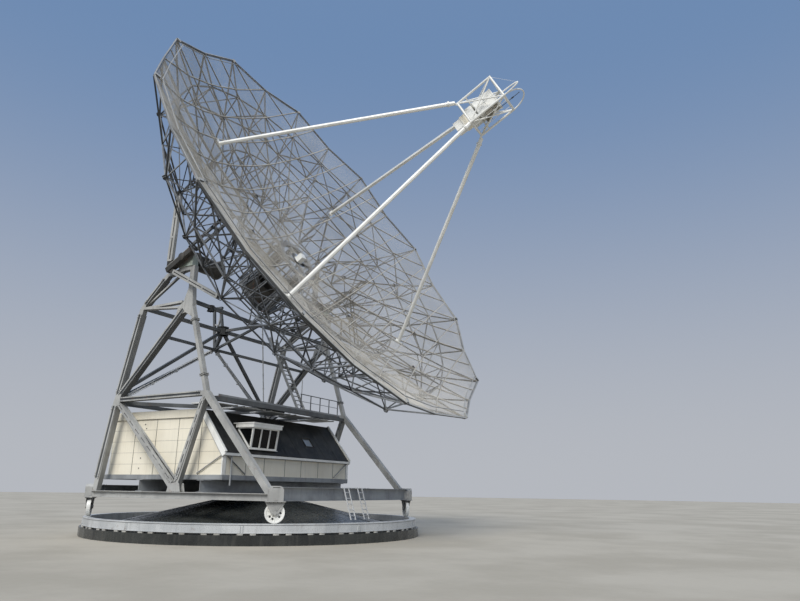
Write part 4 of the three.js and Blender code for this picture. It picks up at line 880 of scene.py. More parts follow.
@dataclass(frozen=True)
class Towers:
    """Flanges with dark strips of painted shade for the webs between them, twin channels, collars and bolts
    on the towers.
    """

    plane: float = 5.75
    half_depth: float = 0.13
    members: tuple[Member, ...] = (
        Member((-5.35, 2.33), (-4.6, 6.4), 0.30, Web.OPEN, (0.08, 0.09)),
        Member((-4.6, 6.4), (-3.5, 11.0), 0.26, Web.OPEN, (0.07, 0.07)),
        Member((-3.5, 11.0), (-1.88, 12.6), 0.22, Web.OPEN, (0.07, 0.03)),
        Member((-4.6, 6.4), (-0.3, 10.95), 0.24, Web.OPEN, (0.08, 0.02), 0.4),
        Member((-4.6, 6.4), (1.4, 6.45), 0.22, Web.OPEN, (0.06, 0.06)),
        Member((0.0, 2.33), (-4.6, 6.4), 0.22, Web.TWIN),
        Member((0.0, 2.33), (1.4, 6.45), 0.22, Web.TWIN),
        Member((5.48, 2.33), (1.4, 6.45), 0.29, Web.PLAIN),
        Member((1.4, 6.45), (-0.07, 10.8), 0.18, Web.PLAIN),
    )
    proud: float = 0.04
    slot: float = 0.05
    batten_pitch: float = 0.62
    batten: float = 0.24
    web_thickness: float = 0.008
    lap: float = 0.004
    bolt_steps: tuple[float, float] = (0.08, 0.2)
    foot: tuple[Point, ...] = ((-0.42, 2.04), (0.42, 2.04), (0.32, 2.42), (-0.32, 2.42))
    collars: tuple[float, float] = (0.17, 0.8)
    collar_wall: float = 0.05
    collar_plate: float = 0.014
    collar_gap: float = 0.035

    def build(self) -> None:
        """Makes the pieces on both towers."""
        light, dark, bolt = Metalwork(), Metalwork(), Metalwork()
        for sign in (-1, 1):
            for face in (-1, 1):
                y = sign * self.plane + face * self.half_depth
                for member in self.members:
                    self._member(light, dark, bolt, member, y, face)
                corners = [Vector((x, y - face * 0.004, z)) for x, z in self.foot]
                light.plate(corners, Y_AXIS * face * 0.024)
            self._collars(light, bolt, sign)
        light.piece("tower_flanges", STEEL, Body.CARRIAGE.value)
        dark.piece("tower_web_shade", DARK_BOLTS_AND_SHADE, Body.CARRIAGE.value)
        bolt.piece("tower_bolts", DARK_BOLTS_AND_SHADE, Body.CARRIAGE.value)

    def _member(self, light: Metalwork, dark: Metalwork, bolt: Metalwork, member: Member, y: float,
                face: int) -> None:
        """Dresses one face of a member.

        Args:
            light: The piece with the flanges.
            dark: The piece with the painted shade of the webs and gaps.
            bolt: The piece with the bolts.
            member: The member.
            y: The face's place.
            face: The side that the face looks to.
        """
        a, b = (Vector((x, y, z)) for x, z in (member.start, member.end))
        along = (b - a).normalized()
        a, b = a + along * member.gap, b - along * member.gap
        across = along.cross(Y_AXIS) * -1
        if across.z < 0 or (abs(across.z) < 0.3 and across.x > 0):
            across = -across
        lift = Y_AXIS * face * self.proud / 2
        half = member.wide / 2
        if member.web is Web.OPEN:
            upper, lower = member.edges
            for wide, place in ((upper, half - upper / 2), (lower, lower / 2 - half)):
                light.bar(a + across * place + lift, b + across * place + lift, wide, self.proud, Y_AXIS)
            # Painted shade: a dark strip between the flanges stands for the shaded web.
            inner = (lower - upper) / 2
            wide = member.wide - upper - lower + self.lap
            dark.bar(a + across * inner, b + across * inner, wide, self.web_thickness, Y_AXIS)
        if member.web is Web.TWIN:
            wide = half - self.slot / 2
            for side in (-1, 1):
                shift = across * side * (half - wide / 2) + lift
                light.bar(a + shift, b + shift, wide, self.proud, Y_AXIS)
            # Painted shade: a dark strip in the gap between the twin channels.
            dark.bar(a, b, self.slot + self.lap, self.web_thickness, Y_AXIS)
            count = round((b - a).length / self.batten_pitch)
            for k in range(count + 1):
                middle = a.lerp(b, k / count) + lift
                light.bar(middle - along * self.batten / 2, middle + along * self.batten / 2,
                          self.slot + 0.06, self.proud + 0.008, Y_AXIS)
        if member.web is not Web.PLAIN:
            for end, way in ((a, 1), (b, -1)):
                for step in self.bolt_steps:
                    for side in (-1, 1):
                        spot = end + along * way * step + across * side * (half - 0.03)
                        bolt.bolt(spot + Y_AXIS * face * self.proud, Y_AXIS * face, 0.016, 0.014)

    def _collars(self, work: Metalwork, bolt: Metalwork, sign: int) -> None:
        """Puts the bolted collars on the upper front leg.

        Args:
            work: The piece being made.
            bolt: The piece with the bolts.
            sign: The tower's side.
        """
        leg = self.members[-1]
        top, foot = (Vector((x, sign * self.plane, z)) for x, z in (leg.end, leg.start))
        along = (foot - top).normalized()
        for share in self.collars:
            spot = top.lerp(foot, share)
            face = along * self.collar_plate
            for shift in (-self.collar_gap, self.collar_gap):
                centre = spot + along * shift
                work.bar(centre - face, centre + face, leg.wide + 2 * self.collar_wall,
                         2 * (self.half_depth + self.collar_wall), Y_AXIS)
            across = along.cross(Y_AXIS)
            for side in (-1, 1):
                for face in (-1, 1):
                    edge = across * side * (leg.wide / 2 + 0.03)
                    corner = spot + edge + Y_AXIS * face * (self.half_depth + 0.03)
                    for way in (along, -along):
                        bolt.bolt(corner + way * (self.collar_gap + self.collar_plate), way, 0.014, 0.02)


@dataclass(frozen=True)
class UpperWorks:
    """Node castings, braces, ties painted as sunlit, the stair, pipes and panels between the towers."""

    low_node: Place = (-4.0, 0.0, 10.0)
    posts: tuple[tuple[Point, Point], ...] = (((-4.0, 10.0), (-4.3, 12.5)), ((-3.5, 11.05), (-3.8, 12.5)))
    crown: Place = (-3.5, 0.0, 11.05)
    drive_box: Place = (-0.41, -4.2, 11.06)
    casting_bands: tuple[Place, ...] = ((-0.5, 0.5, 1.0), (-0.5, -0.4, 1.15), (0.4, 0.5, 1.15))
    casting_sizes: tuple[Point, Point] = ((0.32, 0.5), (0.17, 0.3))
    brace_ends: tuple[Point, Point] = ((0.2, 0.75), (0.62, 0.15))
    rear_mid: Point = (-4.6, 6.46)
    tie_clamps: tuple[float, ...] = (0.06, 0.3, 0.55, 0.8, 0.95)
    tie: Point = (0.085, 0.02)
    tie_clamp: Point = (0.2, 0.19)
    tie_ends: Point = (0.1, 0.25)
    inner: float = 5.6
    stair_y: float = 3.0
    stair_half: float = 0.32
    stringer: Point = (0.16, 0.03)
    tread: Point = (0.14, 0.025)
    stair_foot: Point = (0.35, 6.42)
    stair_head: Point = (-2.2, 11.1)
    tread_pitch: float = 0.26
    pipes: tuple[tuple[Place, Place, float], ...] = (((-0.15, 0.14, 6.36), (-0.62, 0.14, 11.0), 0.03),
                                                     ((0.9, 2.1, 6.41), (0.9, 2.1, 8.2), 0.022))
    pipe_clips: int = 6
    under_panels: int = 5
    under_panel: tuple[float, float, float, float] = (-0.3, 1.2, 0.8, 6.1)
    under_pitch: float = 2.1
    under_edge: Point = (0.03, 0.04)

    def build(self) -> None:
        """Makes the pieces that stand on the carriage between the towers."""
        self._drive()
        self._ties()
        self._stair()
        self._pipes()
        self._panels()

    def _drive(self) -> None:
        """Adds the casting at the crown node, the drive box under the upper tie and the posts' braces."""
        work = Metalwork()
        for place, (wide, tall) in zip((self.crown, self.drive_box), self.casting_sizes):
            centre = Vector(place)
            for low, high, grow in self.casting_bands:
                ring = [centre + ray(t) * wide * grow + Z_AXIS * low * tall for t in turns(8, 0.5)]
                work.plate(ring, Z_AXIS * (high - low) * tall)
            for out in map(ray, turns(8)):
                work.bolt(centre + out * wide - Z_AXIS * tall / 2, -Z_AXIS, 0.02, 0.02)
        work.piece("node_castings", MACHINE, Body.CARRIAGE.value)
        brace = Metalwork()
        (a, b), (c, d) = ((Vector((x, 0, z)) for x, z in post) for post in self.posts)
        for start, end in self.brace_ends:
            brace.angle(a.lerp(b, start), c.lerp(d, end), 0.08, Y_AXIS)
        brace.piece("drive_braces", STEEL, Body.CARRIAGE.value)

    def _ties(self) -> None:
        """Lays a pair of channels over the long ties to the low node, in steel painted light as if sunlit.
        """
        work = Metalwork()
        for side in (-1, 1):
            a = Vector((self.rear_mid[0], side * self.inner, self.rear_mid[1]))
            b = Vector(self.low_node)
            along = (b - a).normalized()
            across = along.cross(X_AXIS).normalized()
            facing = along.cross(across) * (1 if along.cross(across).x > 0 else -1) - Y_AXIS
            for face in (-1, 1):
                shift = across * face * 0.06 + facing.normalized() * 0.1
                start, end = a + along * self.tie_ends[0] + shift, b - along * self.tie_ends[1] + shift
                work.bar(start, end, *self.tie, facing + Z_AXIS * 0.5)
            for share in self.tie_clamps:
                spot = a.lerp(b, share)
                work.bar(spot - along * 0.05, spot + along * 0.05, *self.tie_clamp, X_AXIS)
        work.piece("sunlit_ties", SUNLIT_STEEL, Body.CARRIAGE.value)

    def _stair(self) -> None:
        """Makes the steep stair with its stringers and treads."""
        stair = Metalwork()
        foot, head = (Vector((x, self.stair_y, z)) for x, z in (self.stair_foot, self.stair_head))
        for side in (-1, 1):
            shift = Y_AXIS * side * self.stair_half
            stair.bar(foot + shift, head + shift, *self.stringer, Y_AXIS)
        count = round((head - foot).z / self.tread_pitch)
        for k in range(1, count):
            spot = foot.lerp(head, k / count)
            stair.bar(spot - shift, spot + shift, *self.tread, Z_AXIS)
        stair.piece("upper_stair", STEEL, Body.CARRIAGE.value)

    def _pipes(self) -> None:
        """Runs the thin service pipes with their clips."""
        work = Metalwork()
        for foot, head, radius in self.pipes:
            work.tube(Vector(foot), Vector(head), radius, 10)
        foot, head, radius = self.pipes[0]
        for k in range(self.pipe_clips):
            spot = Vector(foot).lerp(Vector(head), (k + 0.5) / self.pipe_clips)
            work.tube(spot - Z_AXIS * 0.025, spot + Z_AXIS * 0.025, radius * 1.5, 10)
        work.piece("service_pipes", STEEL, Body.CARRIAGE.value)

    def _panels(self) -> None:
        """Hangs panels under the frame between the towers, in steel painted light as if sunlit."""
        work = Metalwork()
        x0, x1, half, z = self.under_panel
        thick, rise = self.under_edge
        for k in range(self.under_panels):
            y = self.under_pitch * (k - (self.under_panels - 1) / 2)
            work.block((x0, y - half, z), (x1, y + half, z + thick))
            for edge in (y - half, y + half - thick):
                work.block((x0, edge, z + thick), (x1, edge + thick, z + thick + rise))
        work.piece("under_panels", SUNLIT_STEEL, Body.CARRIAGE.value)


@dataclass(frozen=True)
class DishFrame:
    """The dish's own frame: X up the dish, Y to the near side and Z along the line of sight."""

    vertex: Place = (1.749, 0.0, 14.663)
    elevation: float = 29.8
    focal_length: float = 12.0
    rim: float = 12.5
    bays: int = 12
    half_bay: float = math.pi / 12

    def point(self, x: float, y: float, z: float) -> Vector:
        """Places a point of the dish's frame."""
        return Vector(self.vertex) + self.up * x - Y_AXIS * y + self.sight * z

    def at(self, radius: float, phi: float, height: float) -> Vector:
        """Places a point by its radius and angle round the line of sight."""
        return self.point(radius * math.sin(phi), radius * math.cos(phi), height)

    def surface(self, radius: float) -> float:
        """Gives the height of the reflector."""
        return radius * radius / (4 * self.focal_length)

    def under(self, radius: float, phi: float, drop: float) -> Vector:
        """Places a point under the reflector."""
        return self.at(radius, phi, self.surface(radius) - drop)

    def square(self, half: float, height: float) -> list[Vector]:
        """Places the corners of a square round the line of sight."""
        return [self.point(x * half, y * half, height) for x, y in ((-1, -1), (1, -1), (1, 1), (-1, 1))]

    def outward(self, phi: float) -> Vector:
        """Gives the direction away from the line of sight."""
        return self.at(1, phi, 0) - self.at(0, phi, 0)

    @property
    def sight(self) -> Vector:
        """Gives the direction of the line of sight."""
        e = math.radians(self.elevation)
        return Vector((math.cos(e), 0, math.sin(e)))

    @property
    def up(self) -> Vector:
        """Gives the direction up the dish."""
        e = math.radians(self.elevation)
        return Vector((-math.sin(e), 0, math.cos(e)))


DISH = DishFrame()


@dataclass(frozen=True)
class Reflector:
    """The wire mesh, its battens and the rim."""

    rows: tuple[float, ...] = (0.5, 1.4053, 4.3, 7.05, 8.75, 10.4, 12.5)
    sectors: int = 24
    skins: int = 4
    pitch: float = 0.024
    wire: float = 0.0026
    wire_spread: float = 0.22
    panel_seed: int = 24
    batten: float = 0.034
    grid: tuple[float, ...] = (0.0, 1.62, 3.24, 4.64, 6.04, 7.44, 8.84, 10.45)
    families: tuple[float, ...] = (math.pi / 3, 2 * math.pi / 3)
    step: float = 0.8
    eye: float = 0.9
    edge_gap: float = 0.06
    mesh_drop: float = 0.012
    batten_drop: float = 0.008
    batten_thickness: float = 0.012
    inner_rail: float = 0.42
    lip: Point = (0.05, 0.02)
    rail: Point = (0.035, 0.03)
    bracket: Point = (0.13, 0.08)

    def build(self) -> None:
        """Makes the four mesh pieces and the battens."""
        per_skin = self.sectors // self.skins
        chance = random.Random(self.panel_seed)
        for skin in range(self.skins):
            mesh = Metalwork()
            for sector in range(per_skin):
                self._sector(mesh, skin * per_skin + sector - 1, chance)
            made = mesh.piece(f"reflector_mesh_{skin + 1}", WIRE, Body.DISH.value, smooth=180.0)
            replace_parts(made, f"skin_{skin + 1}")
        self._battens()

    def radius_at(self, radius: float, column: float) -> float:
        """The radius of a row on a column: the rows are straight between two columns.

        Args:
            radius: The row's radius.
            column: The column's number; odd ones are ribs.

        Returns:
            The radius there.
        """
        low = int(math.floor(column))
        ends = [radius * (math.cos(DISH.half_bay) if radius == self.rows[-1] and k % 2 == 0 else 1)
                for k in (low, low + 1)]
        share = column - low
        return (ends[0] * (1 - share) + ends[1] * share) * (math.cos(DISH.half_bay / 2) if share else 1)

    def corner(self, radius: float, column: float, rise: float = 0.0) -> Vector:
        """A corner of a facet."""
        r = self.radius_at(radius, column)
        return DISH.at(r, column * DISH.half_bay, DISH.surface(r) + rise)

    def facet_height(self, radius: float, phi: float) -> float:
        """The height of the mesh's facets at a point.

        Args:
            radius: The radius.
            phi: The angle round the line of sight.

        Returns:
            The height over the vertex.
        """
        middle = (math.floor(phi / DISH.half_bay) + 0.5) * DISH.half_bay
        reach = radius * math.cos(phi - middle) / math.cos(DISH.half_bay / 2)
        for r0, r1 in zip(self.rows, self.rows[1:]):
            if reach <= r1:
                share = (reach - r0) / (r1 - r0)
                return DISH.surface(r0) * (1 - share) + DISH.surface(r1) * share
        return DISH.surface(self.rows[-1])

    def grid_bars(self, drop: float) -> list[tuple[Vector, Vector]]:
        """Runs the two families of crossing lines over the mesh, from rim to rim.

        Args:
            drop: How far the lines lie under the mesh.

        Returns:
            The two ends of each short piece of a line.
        """
        edge = self.rows[-1] * math.cos(DISH.half_bay) - self.edge_gap
        bars = []
        for turn in self.families:
            for distance in sorted({sign * d for d in self.grid for sign in (-1, 1)}):
                slopes = [(edge - distance * math.cos(side - turn), math.sin(side - turn))
                          for side in turns(DISH.bays)]
                low = max(gap / slope for gap, slope in slopes if slope < -1e-6)
                high = min(gap / slope for gap, slope in slopes if slope > 1e-6)
                count = max(2, round((high - low) / self.step))
                spots = []
                for k in range(count + 1):
                    along = low + (high - low) * k / count
                    x = distance * math.sin(turn) + along * math.cos(turn)
                    y = distance * math.cos(turn) - along * math.sin(turn)
                    radius, phi = math.hypot(x, y), math.atan2(x, y)
                    spots.append((radius, DISH.at(radius, phi, self.facet_height(radius, phi) - drop)))
                bars += [(a, b) for (r0, a), (r1, b) in zip(spots, spots[1:]) if min(r0, r1) > self.eye]
        return bars

    def _sector(self, work: Metalwork, column: int, chance: random.Random) -> None:
        """Weaves the wires of one sector between two columns.

        Args:
            work: The piece being made.
            column: The sector's first column.
            chance: The source of the small differences between the panels.
        """
        for rows in zip(self.rows, self.rows[1:]):
            p00, p01, p10, p11 = (self.corner(r, k, -self.mesh_drop)
                                  for r in rows for k in (column, column + 1))
            normal = (p01 - p00).cross(p10 - p00).normalized()
            gauge = self.wire * (1 + chance.uniform(-self.wire_spread, self.wire_spread))
            hoops = max(2, round((p10 - p00).length / self.pitch))
            for k in range(hoops):
                t = (k + 0.5) / hoops
                self._wire(work, p00.lerp(p10, t), p01.lerp(p11, t), normal, gauge)
            spokes = max(2, round(((p01 - p00).length + (p11 - p10).length) / 2 / self.pitch))
            for k in range(spokes):
                s = (k + 0.5) / spokes
                self._wire(work, p00.lerp(p01, s), p10.lerp(p11, s), normal, gauge)

    def _wire(self, work: Metalwork, a: Vector, b: Vector, normal: Vector, gauge: float) -> None:
        """Adds one straight wire as a three-sided prism.

        Args:
            work: The piece being made.
            a: The start.
            b: The end.
            normal: The facet's normal.
            gauge: The wire's thickness.
        """
        half = gauge / 2
        across, up = work.axes(a, b, normal)
        corners = [across * -half - up * half, across * half - up * half, up * half]
        work.loft([a + c for c in corners], [b + c for c in corners], capped=False)

    def _battens(self) -> None:
        """Lays clamping battens along the two families of lines, and the rim's rails and plates."""
        batten = Metalwork()
        sight = DISH.sight
        for start, end in self.grid_bars(self.batten_drop):
            batten.bar(start, end, self.batten, self.batten_thickness, sight)
        batten.piece("mesh_battens", BATTEN, Body.DISH.value)
        rim = Metalwork()
        outer = self.rows[-1]
        for column in range(self.sectors):
            a, b = self.corner(outer, column), self.corner(outer, column + 1)
            inward = (DISH.at(0, 0, DISH.surface(outer)) - (a + b) / 2).normalized()
            lower = inward * 0.035 - sight * 0.018
            rim.bar(a + lower, b + lower, *self.lip, sight)
            shift = inward * self.inner_rail
            rim.bar(a + shift, b + shift, *self.rail, sight)
            if column % 2:
                rim.bar(a + inward * 0.05, a + inward * 0.3, *self.bracket, sight)
        rim.piece("rim_rail", STEEL, Body.DISH.value)


@dataclass(frozen=True)
class BackStructure:
    """The lattice behind the reflector: trusses, purlins, ring webs, bracing and hub fittings."""

    purlin_size: float = 0.05
    purlin_drop: float = 0.04
    top_drop: float = 0.085
    ring_radii: tuple[float, float] = (7.05, 10.4)
    ring_heights: tuple[float, float] = (-1.62, 0.8)
    inner_node: Point = (2.9, -2.9)
    hub_inner: float = 1.1
    hub_levels: tuple[float, float] = (-3.16, -2.2)
    ladder: tuple[Point, Point] = ((-1.5, 12.97), (-0.33, 11.43))
    ladder_half: float = 0.36
    ladder_rungs: int = 8
    ladder_stile: Point = (0.04, 0.16)
    ladder_tread: Point = (0.14, 0.03)
    ladder_hangers: tuple[Point, ...] = ((0.05, 0.42), (0.95, 0.2))
    hub_bar: float = 0.05
    angle: float = 0.06
    top_radii: tuple[float, ...] = (1.4053, 4.3, 7.05, 8.75, 10.4)
    back_nodes: tuple[Point, ...] = ((1.4053, -3.2), (2.9, -2.9), (7.05, -1.62), (10.4, 0.8))
    truss_webs: tuple[tuple[int, int], ...] = ((0, 1), (1, 1), (1, 2), (2, 2), (3, 2), (3, 3), (4, 3))
    rib_webs: tuple[tuple[int, int], ...] = ((0, 0), (1, 0), (2, 0), (2, 1), (3, 1))
    chord: tuple[float, float] = (0.06, 0.075)
    web: float = 0.048
    post: tuple[float, float] = (6.14, 0.26)
    post_foot: float = -2.0997
    post_channel: Point = (0.14, 0.1)
    post_batten: Point = (0.12, 0.13)
    post_battens: int = 6
    rim_inset: float = 0.07
    ring_bar: float = 0.065
    rim_bar: float = 0.075
    plate_nodes: tuple[Point, ...] = ((2.9, -2.9), (7.05, -1.62), (10.4, 0.8), (4.3, 0.3), (8.75, 1.5))
    gusset: tuple[Point, ...] = ((-0.17, -0.04), (-0.08, -0.1), (0.08, -0.1), (0.17, -0.04),
                                 (0.11, 0.1), (-0.11, 0.1))
    gusset_bolts: tuple[Point, ...] = ((-0.11, -0.03), (0.11, -0.03), (-0.06, 0.06), (0.06, 0.06))
    gusset_offset: float = 0.048

    def build(self) -> None:
        """Makes the trusses, purlins, webs and back diagonals."""
        self._trusses()
        self._purlins()
        self._webs()
        self._back_diagonals()
        self._hub_fittings()
        self._node_plates()

    def _trusses(self) -> None:
        """Builds each bay's main truss, rib and ring bars of slim steel sections."""
        end = DISH.rim * math.cos(DISH.half_bay)
        tops = (*self.top_radii, end - self.rim_inset)
        rib_tops = (*self.top_radii[1:], DISH.rim - self.rim_inset)
        inset = tuple((r * math.cos(DISH.half_bay), h) for r, h in self.back_nodes[2:])
        bar, rim_bar, sight = self.ring_bar, self.rim_bar, DISH.sight
        for bay in range(DISH.bays):
            phi = 2 * bay * DISH.half_bay
            work = Metalwork()
            self._truss(work, phi, tops, self.back_nodes, self.truss_webs)
            self._truss(work, phi + DISH.half_bay, rib_tops, inset, self.rib_webs)
            if bay % 6 == 0:
                self._seat_post(work, phi)
            for side in (-1, 1):
                rib = phi + side * DISH.half_bay
                for (r, h), (rib_r, rib_h) in zip(self.back_nodes[2:], inset):
                    work.bar(DISH.at(r, phi, h), DISH.at(rib_r, rib, rib_h), bar, bar, sight)
                    work.bar(DISH.under(r, phi, rim_bar), DISH.under(r, rib, rim_bar), 0.06, 0.07, sight)
                inward = DISH.outward(phi) * -self.rim_inset
                a, b = DISH.under(end, phi, rim_bar), DISH.under(DISH.rim, rib, rim_bar)
                work.bar(a + inward, b + inward, rim_bar, rim_bar, sight)
            made = work.piece(f"back_truss_{bay + 1}", LATTICE, Body.DISH.value)
            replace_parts(made, f"back_frame_{bay + 1}")

    def _truss(self, work: Metalwork, phi: float, radii: tuple[float, ...], back: tuple[Point, ...],
               webs: tuple[tuple[int, int], ...]) -> None:
        """Builds one flat truss under the mesh.

        Args:
            work: The piece being made.
            phi: The truss's angle.
            radii: The radii of the top chord's nodes.
            back: The nodes of the back chord, from inside to outside.
            webs: Pairs of a top node and a back node that a web joins.
        """
        wide, deep = self.chord
        top = [DISH.under(r, phi, self.top_drop) for r in radii]
        low = [DISH.at(r, phi, h) for r, h in back]
        for a, b in zip(top, top[1:]):
            work.bar(a, b, wide * 0.7, deep, DISH.sight)
        for a, b in zip([top[0], *low], [*low, top[-1]]):
            work.bar(a, b, wide, deep, DISH.sight)
        for t, k in webs:
            work.angle(top[t], low[k], self.web, DISH.sight, 0.012)

    def _seat_post(self, work: Metalwork, phi: float) -> None:
        """Adds the pair of channels with battens that stands on the cradle's seat.

        Args:
            work: The piece being made.
            phi: The truss's angle.
        """
        radius, reach = self.post
        side = DISH.outward(phi + math.pi / 2)
        top = DISH.surface(radius) - 0.1
        edge = self.post_channel[1] / 2
        for r in (radius - reach + edge, radius + reach - edge):
            work.bar(DISH.at(r, phi, self.post_foot), DISH.at(r, phi, top),
                     *self.post_channel, side.cross(DISH.sight))
        wide = self.post_batten[0]
        for k in range(self.post_battens):
            share = k / (self.post_battens - 1)
            height = self.post_foot + wide / 2 + (top - self.post_foot - wide) * share
            work.bar(DISH.at(radius - reach, phi, height), DISH.at(radius + reach, phi, height),
                     *self.post_batten, DISH.sight)

    def _purlins(self) -> None:
        """Runs the angle purlins under the mesh, along its two families of lines."""
        work = Metalwork()
        for start, end in Reflector().grid_bars(self.purlin_drop):
            work.angle(start, end, self.purlin_size, DISH.sight)
        work.piece("purlins", LATTICE, Body.DISH.value)

    def _webs(self) -> None:
        """Adds the crossed diagonals in the two ring girders, between each truss and its ribs."""
        work = Metalwork()
        inset = math.cos(DISH.half_bay)
        for phi in turns(DISH.bays):
            for side in (-1, 1):
                rib = phi + side * DISH.half_bay
                outward = DISH.outward(phi)
                for radius, low in zip(self.ring_radii, self.ring_heights):
                    top, foot = DISH.under(radius, phi, 0.09), DISH.at(radius, phi, low)
                    rib_top = DISH.under(radius, rib, 0.09)
                    rib_foot = DISH.at(radius * inset, rib, low)
                    work.angle(top, rib_foot, self.angle, outward)
                    work.angle(foot, rib_top, self.angle, outward)
        work.piece("ring_webs", LATTICE, Body.DISH.value)

    def _back_diagonals(self) -> None:
        """Adds the inner ring and the wind bracing on the back nodes."""
        work = Metalwork()
        inset = math.cos(DISH.half_bay)
        r1, h1 = self.inner_node
        radius, low = self.ring_radii[0], self.ring_heights[0]
        for phi in turns(DISH.bays):
            after, rib = phi + 2 * DISH.half_bay, phi + DISH.half_bay
            near = DISH.under(self.top_radii[1], rib, 0.14)
            far = DISH.at(self.ring_radii[1] * inset, rib, self.ring_heights[1])
            work.angle(DISH.at(r1, phi, h1), DISH.at(r1, after, h1), 0.08, DISH.sight)
            for end in (phi, after):
                work.angle(DISH.at(r1, end, h1), near, self.angle, DISH.sight)
                work.angle(DISH.at(radius, end, low), far, self.angle, DISH.sight)
        work.piece("back_bracing", LATTICE, Body.DISH.value)

    def _hub_fittings(self) -> None:
        """Closes the hub's back end with dark plates and hangs the access ladder behind it."""
        work = Metalwork()
        low, high = self.hub_levels
        spots = turns(DISH.bays)
        work.plate([DISH.at(self.hub_inner, phi, low) for phi in spots], DISH.sight * 0.012)
        for phi in spots:
            after = phi + 2 * DISH.half_bay
            inward = DISH.outward(phi + DISH.half_bay) * -0.01
            corners = [DISH.at(self.hub_inner, phi, low), DISH.at(self.hub_inner, after, low),
                       DISH.at(self.hub_inner, after, high), DISH.at(self.hub_inner, phi, high)]
            work.plate(corners, inward)
            work.bar(DISH.at(0.1, phi, low - 0.02), DISH.at(self.hub_inner - 0.06, phi, low - 0.02),
                     self.hub_bar, self.hub_bar, DISH.sight)
        work.piece("hub_plates", SHADED, Body.DISH.value)
        ladder = Metalwork()
        head, foot = (Vector((x, 0, z)) for x, z in self.ladder)
        half = Y_AXIS * self.ladder_half
        for shift in (-half, half):
            ladder.bar(head + shift, foot + shift, *self.ladder_stile, Y_AXIS.cross(foot - head))
            for share, reach in self.ladder_hangers:
                spot = head.lerp(foot, share) + shift
                ladder.bar(spot, spot + DISH.sight * reach, self.hub_bar, self.hub_bar, Y_AXIS)
        for k in range(1, self.ladder_rungs):
            spot = head.lerp(foot, k / self.ladder_rungs)
            ladder.bar(spot - half, spot + half, *self.ladder_tread, Z_AXIS)
        ladder.piece("hub_ladder", SHADED, Body.DISH.value)

    def _node_plates(self) -> None:
        """Puts gusset plates on the nodes of every main truss."""
        work = Metalwork()
        sight = DISH.sight
        for phi in turns(DISH.bays):
            out = DISH.outward(phi).normalized()
            for radius, height in self.plate_nodes:
                for side in (-out.cross(sight), out.cross(sight)):
                    seat = DISH.at(radius, phi, height) + side * self.gusset_offset
                    work.panel(seat, out, sight, self.gusset, side * 0.012)
                    for s, t in self.gusset_bolts:
                        work.bolt(seat + out * s + sight * t + side * 0.011, side, 0.016, 0.014)
        work.piece("truss_gussets", LATTICE, Body.DISH.value)


@dataclass(frozen=True)
class Cradles:
    """The paired channels of the cradles' props, the beams' dark plates of painted shade and the drums at
    the axis.
    """

    offset: float = 6.14
    back: float = -3.95
    seat: float = -2.1
    foot: float = -3.8
    node: Point = (3.525, -1.62)
    props: tuple[tuple[int, float, float], ...] = ((1, 0.32, 0.13), (-1, 0.22, 0.095))
    axis_drop: float = -2.79
    drum: Place = (5.35, 3.7, 0.42)
    flange: float = 0.08
    prop_ends: tuple[float, float] = (0.45, 0.25)
    prop_battens: tuple[float, ...] = (0.0, 0.36, 0.68, 1.0)
    taper: tuple[float, float, float] = (0.13, 0.3, -3.0)
    edge_strip: Point = (0.02, 0.03)
    edge_x: float = 0.14
    beam_half: float = 0.1
    plate_face: float = 0.114
    plate: float = 0.012
    cap: tuple[Point, ...] = ((0.0, 0.0), (0.2, 0.0), (0.2, 0.03), (0.14, 0.06), (0.0, 0.06))

    def build(self) -> None:
        """Makes the channels, the strips and the drum round each pin."""
        light, dark = Metalwork(), Metalwork()
        for sign in (-1, 1):
            y = sign * self.offset
            for side, wide, channel in self.props:
                a = DISH.point(0, y, self.foot)
                b = DISH.point(side * self.node[0], y, self.node[1])
                along = (b - a).normalized()
                across = along.cross(Y_AXIS)
                start, end = a + along * self.prop_ends[0], b - along * self.prop_ends[1]
                for edge in (-1, 1):
                    shift = across * edge * (wide / 2 - channel / 2 + 0.01)
                    light.bar(start + shift, end + shift, channel, 0.17, Y_AXIS)
                for share in self.prop_battens:
                    spot = start.lerp(end, share)
                    light.bar(spot - along * 0.05, spot + along * 0.05, wide - 0.02, 0.18, Y_AXIS)
            self._beam(light, dark, y, sign)
        light.piece("cradle_channels", STEEL, Body.DISH.value)
        dark.piece("cradle_shade_plates", SHADED, Body.DISH.value)

    def _beam(self, light: Metalwork, dark: Metalwork, y: float, sign: int) -> None:
        """Edges the beam, widens it towards the hub with a dark plate of painted shade and adds the drum
        and cap at the axis.

        Args:
            light: The piece with the light edge.
            dark: The piece with the plate of painted shade, the drum and the cap.
            y: The beam's place in the dish's frame.
            sign: The beam's side.
        """
        for face in (-1, 1):
            side = y + face * self.beam_half
            a, b = DISH.point(self.edge_x, side, self.back + 0.02), DISH.point(self.edge_x, side, self.seat)
            light.bar(a, b, *self.edge_strip, Y_AXIS)
        slim, wide, knee = self.taper
        outline = [(-slim, self.back), (slim, self.back), (wide, knee), (wide, self.seat),
                   (-wide, self.seat), (-wide, knee)]
        # Painted shade: a dark plate stands for the shaded face of the beam's broad end.
        seat = DISH.point(0, y - sign * self.plate_face, 0)
        dark.panel(seat, DISH.up, DISH.sight, outline, Y_AXIS * -sign * self.plate)
        outer, inner, radius = self.drum
        rim, long = radius + self.flange, outer - inner
        profile = [(0.0, 0.0), (rim, 0.0), (rim, 0.06), (radius, 0.09),
                   (radius, long - 0.09), (rim, long - 0.06), (rim, long), (0.0, long)]
        dark.turned(profile, DISH.point(0, sign * outer, self.axis_drop), Y_AXIS * sign, 24)
        spot = DISH.point(0, y, self.axis_drop) - Y_AXIS * sign * 0.11
        dark.turned(self.cap, spot, Y_AXIS * -sign, 24)


